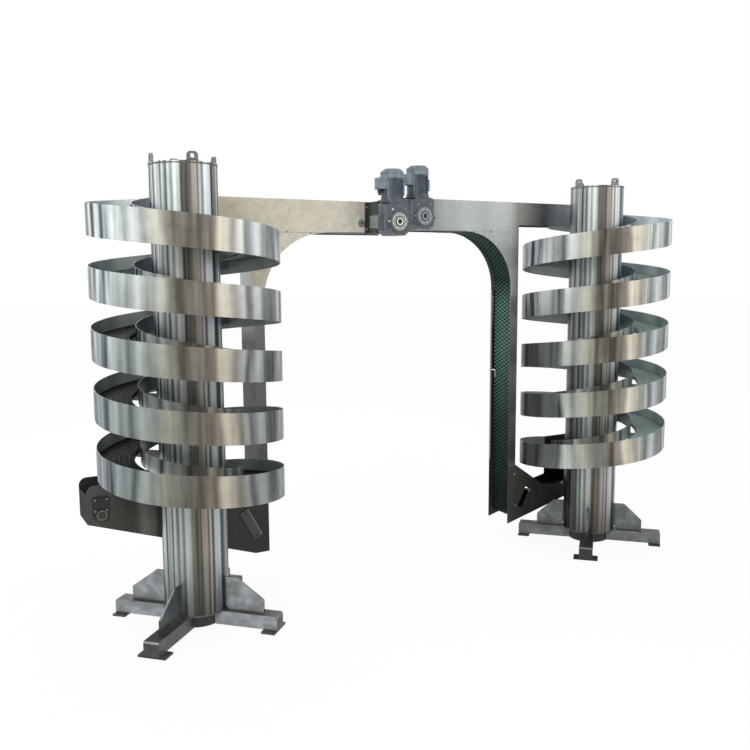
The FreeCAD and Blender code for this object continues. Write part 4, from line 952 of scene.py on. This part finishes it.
def leg_trim():
    """Edge lips, the seams at the leg joints, black strips of painted shade beside the chain and the bent
    rod on the right leg.
    """
    strips = bmesh.new()
    lips = bmesh.new()
    for side, foot in ((LEFT, 0.60), (RIGHT, 0.50)):
        start = RUNS[side]["leg"] - CHAIN_IN_LEG
        height = 1.64 - foot
        middle = foot + height / 2
        # black strips of painted shade in the gaps beside the chain
        for depth, y in ((0.006, 0.4495), (0.008, 0.2545)):
            add_box(strips, (0.010, depth, height), (along(side, start + 0.034), y, middle))
        add_box(lips, (0.0025, 0.010, height), (along(side, start + LEG_WIDTH - 0.0015), 0.4485, middle))
        for joint in (1.600, foot - 0.006):
            place = (along(side, start + LEG_WIDTH / 2), FRONT_FACE, joint)
            add_box(lips, (LEG_WIDTH, 0.0008, 0.003), place)
    finish_piece("leg_gap_shade_strips", strips, "black_housing")
    finish_piece("leg_lips", lips, "ground_seam")
    rod = bmesh.new()
    x = along(RIGHT, 0.476)
    add_rod(rod, 0.003, 0.070, (x, 0.449, 1.075), "Z", 10)
    add_rod(rod, 0.003, 0.045, (x, 0.427, 1.112), "Y", 10)
    add_rod(rod, 0.003, 0.045, (x, 0.405, 1.092), "Z", 10)
    finish_piece("leg_guide_rod", rod, "zinc_screw", smooth=True)


def bearing_fittings():
    """Rings and screws of the bearings on the plates."""
    rings = bmesh.new()
    dark = bmesh.new()
    idler_face, block_face = 0.2384, 0.2333
    add_ring(dark, 0.0198, 0.0170, 0.0020, (-0.231, idler_face, AXIS_HEIGHT[LEFT]), "Y", 32)
    for side, x in ((LEFT, -0.231), (RIGHT, 0.260)):
        add_rod(dark, 0.0070, 0.0020, (x, idler_face, AXIS_HEIGHT[side]), "Y", 20)
    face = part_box("tail_bearing_bosses")[0].y + 0.0010
    for side in (LEFT, RIGHT):
        x = along(side, -TAIL_REACH)
        height = spiral_ends(side)[0] - TAIL_DROP
        add_ring(rings, 0.0245, 0.0225, 0.0030, (x, face, height), "Y", 36)
        add_rod(dark, 0.0100, 0.0030, (x, face, height), "Y", 6)
        for across in (-0.029, 0.029):
            for up in (0.020, 0.078):
                bolt(rings, (x + across, block_face, height + up), 0.0048)
    finish_piece("bearing_faces", rings, "dull_steel", smooth=True)
    finish_piece("bearing_seals", dark, "brown_steel", smooth=True)


def plate_screws():
    """Screws on the right lower plates and the stand-off bracket, and the plate in the bracket's window."""
    mesh = bmesh.new()
    for distance, drop, size in ((0.020, 0.283, 0.008), (0.429, 0.174, 0.005), (0.421, 0.389, 0.006)):
        bolt(mesh, (along(RIGHT, distance), 0.247, spiral_ends(RIGHT)[0] - drop), size)
    low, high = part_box("drive_bracket")
    for x in (low.x + 0.009, high.x - 0.009):
        for share in (0.15, 0.85):
            bolt(mesh, (x, high.y - 0.008, low.z + (high.z - low.z) * share), 0.006)
    finish_piece("plate_screws", mesh, "zinc_screw", smooth=True)
    plate = bmesh.new()
    middle = Vector((low.x + 0.0175, 0.168, 2.047))
    verts = add_box(plate, (0.003, 0.096, 0.068), middle)
    corner = [vert for vert in verts if vert.co.y < middle.y and vert.co.z < middle.z]
    bmesh.ops.translate(plate, vec=(0, 0, -0.006), verts=corner)
    finish_piece("bracket_window_plate", plate, "cool_sheet")


def slot_bar_trim():
    """Painted highlight along the long edge of the bar over the left slot, and the bar's dark screws."""
    low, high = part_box("slot_cover_bar")
    centre = Vector(((low.x + high.x) / 2, low.y, (low.z + high.z) / 2))
    lean = Matrix.Rotation(math.radians(62), 4, "Y")
    edge = bmesh.new()
    screws = bmesh.new()
    # painted highlight along the bar's long edge
    add_box(edge, (0.178, 0.0030, 0.0026), centre + lean @ Vector((0, 0.001, 0.0252)), lean)
    for distance in (-0.075, 0.075):
        bolt(screws, centre + lean @ Vector((distance, 0, 0)), 0.0055)
    finish_piece("slot_bar_edge_highlight", edge, "dull_steel")
    finish_piece("slot_bar_screws", screws, "black_housing")


# Drives

# Heights over the shaft of the motor's foot, its cowl's foot and the middle of its terminal box.
MOTOR_FOOT = 0.120
COWL_FOOT = 0.237
TERMINAL_MIDDLE = 0.2085
# Radii at which the motor's ribs and the cowl's slots stand.
RIB_RADIUS = 0.0605
COWL_RADIUS = 0.0640
COWL_SLOTS = 28
# X of each output and Y of its gearbox's front face, and X and Y of each motor's axis.
OUTPUTS = {LEFT: (-0.120, 0.009), RIGHT: (0.120, 0.128)}
MOTORS = {LEFT: (-0.130, 0.0685), RIGHT: (0.110, 0.1875)}


def motor_ribs():
    """Cooling ribs and end rings of the motors."""
    count = bpy.context.scene.conveyor_sizes.fin_count
    mesh = bmesh.new()
    pale = bmesh.new()
    for side, motor in MOTORS.items():
        base = AXIS_HEIGHT[side] + MOTOR_FOOT
        centre = (*motor, base + 0.058)
        for number in range(count):
            angle = 360 * number / count
            # the ribs leave room for the terminal box
            if math.cos(math.radians(angle)) > -0.68:
                add_box(mesh, (0.006, 0.0030, 0.098), around(centre, RIB_RADIUS, angle), turned_by(angle))
        add_ring(mesh, 0.0635, 0.0560, 0.010, (*motor, base + 0.006), "Z", 40)
        add_ring(mesh, 0.0630, 0.0560, 0.008, (*motor, base + 0.112), "Z", 40)
        # painted highlight: a pale rib on the camera's left of each motor
        add_box(pale, (0.0060, 0.0080, 0.100), around(centre, 0.0612, -139), turned_by(-139))
    finish_piece("motor_ribs", mesh, "slate_enamel")
    finish_piece("motor_rib_highlights", pale, "highlight_enamel")


def cowl_fittings():
    """Air slots, rims and top grilles of the fan cowls."""
    dark = bmesh.new()
    slots = bmesh.new()
    rims = bmesh.new()
    for side, motor in MOTORS.items():
        base = AXIS_HEIGHT[side] + COWL_FOOT
        for number in range(COWL_SLOTS):
            angle = 360 * (number + 0.5) / COWL_SLOTS
            place = around((*motor, base + 0.022), COWL_RADIUS, angle)
            add_box(slots, (0.0006, 0.0035, 0.012), place, turned_by(angle))
        for radius in (0.018, 0.028, 0.038):
            add_ring(dark, radius + 0.0025, radius, 0.001, (*motor, base + 0.0502), "Z", 32)
        add_ring(rims, 0.0650, 0.0625, 0.004, (*motor, base + 0.003), "Z", 48)
        add_ring(rims, 0.0648, 0.0625, 0.003, (*motor, base + 0.0345), "Z", 48)
        for angle in (50, 140, 230, 320):
            place = around((*motor, base + 0.009), 0.0650, angle)
            add_box(rims, (0.003, 0.007, 0.007), place, turned_by(angle))
    finish_piece("cowl_grilles", dark, "black_housing")
    finish_piece("cowl_slots", slots, "slate_enamel")
    finish_piece("cowl_rims", rims, "pale_enamel")


def terminal_fittings():
    """Lids with screws, the gland under the left box, and blank plates on the motors."""
    lids = bmesh.new()
    black = bmesh.new()
    screws = bmesh.new()
    plates = bmesh.new()
    for side, (motor_x, motor_y) in MOTORS.items():
        outer = motor_x - 0.089
        z = AXIS_HEIGHT[side] + TERMINAL_MIDDLE
        lid = add_box(lids, (0.010, 0.075, 0.066), (outer + 0.002, motor_y, z))
        bevel_edges(lids, lid, 0.005, 3)
        for across in (-0.030, 0.030):
            for up in (-0.025, 0.025):
                add_rod(screws, 0.0028, 0.002, (outer - 0.0035, motor_y + across, z + up), "X", 12)
        if side == LEFT:
            gland_x, gland_y = outer + 0.018, motor_y + 0.014
            add_rod(black, 0.0125, 0.020, (gland_x, gland_y, z - 0.0415), "Z", 6)
            add_rod(black, 0.0100, 0.012, (gland_x, gland_y, z - 0.0565), "Z", 16, 0.006)
        place = around((motor_x, motor_y, z - 0.0305), 0.0645, -31)
        add_box(plates, (0.0150, 0.0020, 0.068), place, turned_by(-31))
    finish_piece("terminal_lids", lids, "pale_enamel", smooth=True)
    finish_piece("cable_glands", black, "black_housing", smooth=True)
    finish_piece("terminal_screws", screws, "zinc_screw")
    finish_piece("blank_rating_plates", plates, "blue_plate")


def gearbox_castings():
    """Shoulders, painted highlights on edges, collars, ribs and necks of the gearboxes."""
    bodies = bmesh.new()
    edges = bmesh.new()
    for side, (x, front) in OUTPUTS.items():
        axis = AXIS_HEIGHT[side]
        shoulder = add_box(bodies, (0.036, 0.060, 0.150), (x - 0.083, front + 0.0305, axis + 0.020))
        bevel_edges(bodies, shoulder, 0.006, 2)
        # painted highlight: a pale strip down the left edge of the front face
        add_box(edges, (0.0030, 0.0016, 0.128), (x - 0.0905, front - 0.0002, axis + 0.016))
        add_ring(bodies, 0.0600, 0.0440, 0.006, (x, front - 0.002, axis), "Y", 48)
        for depth in (0.030, 0.060, 0.090):
            add_box(bodies, (0.005, 0.004, 0.118), (x + 0.067, front + depth, axis + 0.010))
        neck = add_box(bodies, (0.110, 0.100, 0.012), (*MOTORS[side], axis + 0.106))
        bevel_edges(bodies, neck, 0.005, 2)
    finish_piece("gearbox_covers", bodies, "slate_enamel", smooth=True)
    finish_piece("gearbox_edge_highlights", edges, "highlight_enamel")


def output_fittings():
    """Flange faces, seals and rings of the hollow shafts, black rings of painted shadow round the flanges,
    and the gearboxes' screws.
    """
    bright = bmesh.new()
    dull = bmesh.new()
    dark = bmesh.new()
    for side, (x, front) in OUTPUTS.items():
        axis = AXIS_HEIGHT[side]
        ring_y = front - 0.0092
        plate = bmesh.new()
        add_ring(plate, 0.0482, 0.0290, 0.0008, (x, ring_y, axis), "Y", 48)
        finish_piece(f"flange_face_{SIDES[side]}", plate, f"flange_{SIDES[side]}")
        # painted shadow: a black ring round each flange for the shade in its recess
        add_ring(dark, 0.0535, 0.0470, 0.0040, (x, front - 0.0015, axis), "Y", 48)
        add_ring(dark, 0.0290, 0.0215, 0.0012, (x, ring_y - 0.0002, axis), "Y", 48)
        add_rod(dark, 0.0140, 0.004, (x, ring_y + 0.002, axis), "Y", 28)
        add_box(dark, (0.0045, 0.0042, 0.006), (x, ring_y - 0.0011, axis + 0.0150))
        for number in range(8):
            spot = Matrix.Rotation(math.tau * number / 8, 3, "Y") @ Vector((0.0390, -0.0002, 0.0))
            add_rod(dark, 0.0034, 0.001, Vector((x, ring_y, axis)) + spot, "Y", 12)
        # painted light and shade: the left drive's shaft ring and its screws on the left are bright turned
        # steel, the right drive's are dull steel
        shine = bright if side == LEFT else dull
        add_ring(shine, 0.0215, 0.0140, 0.0040, (x, ring_y - 0.0012, axis), "Y", 40)
        for across, up in ((-0.042, 0.066), (-0.062, 0.0)):
            bolt(shine, (x + across, front, axis + up), 0.0062)
        for across, up in ((0.042, 0.070), (0.0560, 0.0), (-0.038, -0.066), (0.038, -0.066)):
            bolt(dull, (x + across, front, axis + up), 0.0052)
        for angle in (45, 135, 225, 315):
            bolt(dull, around((*MOTORS[side], axis + MOTOR_FOOT), 0.0625, angle), 0.0045, "Z")
    finish_piece("left_shaft_ring_and_screws", bright, "turned_steel", smooth=True)
    finish_piece("dull_rings_and_screws", dull, "dull_steel", smooth=True)
    finish_piece("shaft_seals_and_shadow_rings", dark, "black_housing")


# Studio

# Name, place, the place that it is aimed at, size and power of each lamp.
LAMPS = (
    ("key_lamp", (-5.5, -4.5, 5.0), (0, 0, 1.1), (3.0, 3.0), 230),
    ("fill_lamp", (5.0, -4.5, 3.2), (0.6, 0, 1.1), (3.0, 2.5), 45),
    ("back_lamp", (0.5, 5.5, 4.5), (0, 0, 1.3), (4.0, 2.0), 90),
)
CAMERA_PLACE = Vector((-2.5290, -4.0545, 1.7801))
CAMERA_YAW, CAMERA_PITCH, CAMERA_ROLL = (math.radians(angle) for angle in (61.01, -7.17, -0.32))
CAMERA_LENS = 40.38


def studio_floor():
    """Floor of pale matt paper: bright to the camera, and it still takes the shadow."""
    mesh = bmesh.new()
    below = Matrix.Translation((0, 0, -0.0005))
    bmesh.ops.create_grid(mesh, x_segments=1, y_segments=1, size=40.0, matrix=below)
    floor = new_object("studio_floor", mesh)
    material, tree, shader = new_material("matt_studio_paper")
    colour = bpy.context.scene.conveyor_colours.floor
    feed(tree, shader, Base_Color=colour, Roughness=0.9, Specular_IOR_Level=0.1)
    glow = add(tree, GLOW, "#ffffff", 1.0)
    seen = add(tree, LIGHT_PATH).outputs
    share = add(tree, MULTIPLY, add(tree, LARGER, seen["Is Camera Ray"], seen["Is Glossy Ray"]), 0.93)
    feed(tree, tree.nodes["Material Output"], add(tree, MIX_SHADER, share, shader, glow))
    floor.data.materials.append(material)
    floor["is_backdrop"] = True


def studio_world():
    """Even pale light, white to the camera and in gloss and glass."""
    world = bpy.data.worlds.new("studio_world")
    bpy.context.scene.world = world
    world.use_nodes = True
    tree = world.node_tree
    seen = add(tree, LIGHT_PATH).outputs
    white = add(tree, LARGER, seen["Is Glossy Ray"], seen["Is Transmission Ray"])
    white = add(tree, LARGER, seen["Is Camera Ray"], white)
    strength = add(tree, SPREAD, white, 0.0, 1.0, 0.75, 1.0)
    feed(tree, tree.nodes["Background"], "#ffffff", strength)


def studio_lamps():
    """Soft lamps from the left, the right and behind."""
    for name, place, aim, (width, height), power in LAMPS:
        light = bpy.data.lights.new(name, "AREA")
        light.shape = "RECTANGLE"
        light.size = width
        light.size_y = height
        light.energy = power
        holder = bpy.data.objects.new(name, light)
        bpy.context.scene.collection.objects.link(holder)
        holder.location = place
        holder.rotation_euler = (Vector(aim) - Vector(place)).to_track_quat("-Z", "Y").to_euler()
        holder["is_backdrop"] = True


def photo_camera():
    """Camera at the photograph's place."""
    scene = bpy.context.scene
    flat = Vector((math.cos(CAMERA_YAW), math.sin(CAMERA_YAW), 0.0))
    forward = flat * math.cos(CAMERA_PITCH) + Vector((0, 0, math.sin(CAMERA_PITCH)))
    level = Vector((flat.y, -flat.x, 0.0))
    upright = level.cross(forward)
    right = level * math.cos(CAMERA_ROLL) + upright * math.sin(CAMERA_ROLL)
    up = upright * math.cos(CAMERA_ROLL) - level * math.sin(CAMERA_ROLL)
    camera_data = bpy.data.cameras.new("photo_camera")
    camera_data.lens = CAMERA_LENS
    camera_data.sensor_width = 36.0
    camera_data.clip_end = 200.0
    camera = bpy.data.objects.new("photo_camera", camera_data)
    scene.collection.objects.link(camera)
    camera.matrix_world = frame_matrix(CAMERA_PLACE, right, up, -forward)
    scene.camera = camera
    scene.view_settings.view_transform = "Standard"


# Operators


class CONVEYOR_OT_finish_metal(bpy.types.Operator):
    """Gives every piece of the conveyor its finish"""

    bl_idname = "conveyor.finish_metal"
    bl_label = "Finish metal"

    def execute(self, context):
        make_finishes()
        for name, piece in nodes.items():
            chosen = next((finish for start, finish in FINISH_OF if name.startswith(start)), "turned_steel")
            piece.data.materials.clear()
            piece.data.materials.append(finishes[chosen])
        return {"FINISHED"}


class CONVEYOR_OT_lay_belts(bpy.types.Operator):
    """Lays the belt's fingers on both chains"""

    bl_idname = "conveyor.lay_belts"
    bl_label = "Lay belts"

    def execute(self, context):
        belt(LEFT)
        belt(RIGHT)
        return {"FINISHED"}


class CONVEYOR_OT_weld_towers(bpy.types.Operator):
    """Adds seams and weld beads to guards, columns and bases"""

    bl_idname = "conveyor.weld_towers"
    bl_label = "Weld towers"

    def execute(self, context):
        guard_seams()
        column_fittings()
        base_welds()
        return {"FINISHED"}


class CONVEYOR_OT_trim_plates(bpy.types.Operator):
    """Adds lips, seams, screws and bearings to bridge, legs and lower plates"""

    bl_idname = "conveyor.trim_plates"
    bl_label = "Trim plates"

    def execute(self, context):
        bridge_trim()
        leg_trim()
        bearing_fittings()
        plate_screws()
        slot_bar_trim()
        return {"FINISHED"}


class CONVEYOR_OT_dress_drives(bpy.types.Operator):
    """Adds ribs, slots, lids, glands, covers and rings to both drives"""

    bl_idname = "conveyor.dress_drives"
    bl_label = "Dress drives"

    def execute(self, context):
        motor_ribs()
        cowl_fittings()
        terminal_fittings()
        gearbox_castings()
        output_fittings()
        return {"FINISHED"}


class CONVEYOR_OT_set_studio(bpy.types.Operator):
    """Sets the floor, the light and the camera"""

    bl_idname = "conveyor.set_studio"
    bl_label = "Set studio"

    def execute(self, context):
        studio_floor()
        studio_world()
        studio_lamps()
        photo_camera()
        return {"FINISHED"}


class CONVEYOR_PT_panel(bpy.types.Panel):
    """Lists the steps that dress the conveyor"""

    bl_idname = "CONVEYOR_PT_panel"
    bl_label = "Spiral conveyor"
    bl_space_type = "VIEW_3D"
    bl_region_type = "UI"
    bl_category = "Conveyor"

    def draw(self, context):
        for step in STEPS:
            self.layout.operator(step.bl_idname)


STEPS = (
    CONVEYOR_OT_finish_metal,
    CONVEYOR_OT_lay_belts,
    CONVEYOR_OT_weld_towers,
    CONVEYOR_OT_trim_plates,
    CONVEYOR_OT_dress_drives,
    CONVEYOR_OT_set_studio,
)
CLASSES = (ConveyorSizes, ConveyorColours, *STEPS, CONVEYOR_PT_panel)


def register():
    for item in CLASSES:
        bpy.utils.register_class(item)
    bpy.types.Scene.conveyor_sizes = bpy.props.PointerProperty(type=ConveyorSizes)
    bpy.types.Scene.conveyor_colours = bpy.props.PointerProperty(type=ConveyorColours)


def unregister():
    del bpy.types.Scene.conveyor_colours
    del bpy.types.Scene.conveyor_sizes
    for item in reversed(CLASSES):
        bpy.utils.unregister_class(item)


def main():
    """Runs every step in order."""
    register()
    for step in STEPS:
        family, name = step.bl_idname.split(".")
        getattr(getattr(bpy.ops, family), name)()
    boxes = {"cad": CAD_BOX, "visual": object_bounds()}
    sizes = {name: [list(corner) for corner in box] for name, box in boxes.items()}


if __name__ == "__main__":
    main()
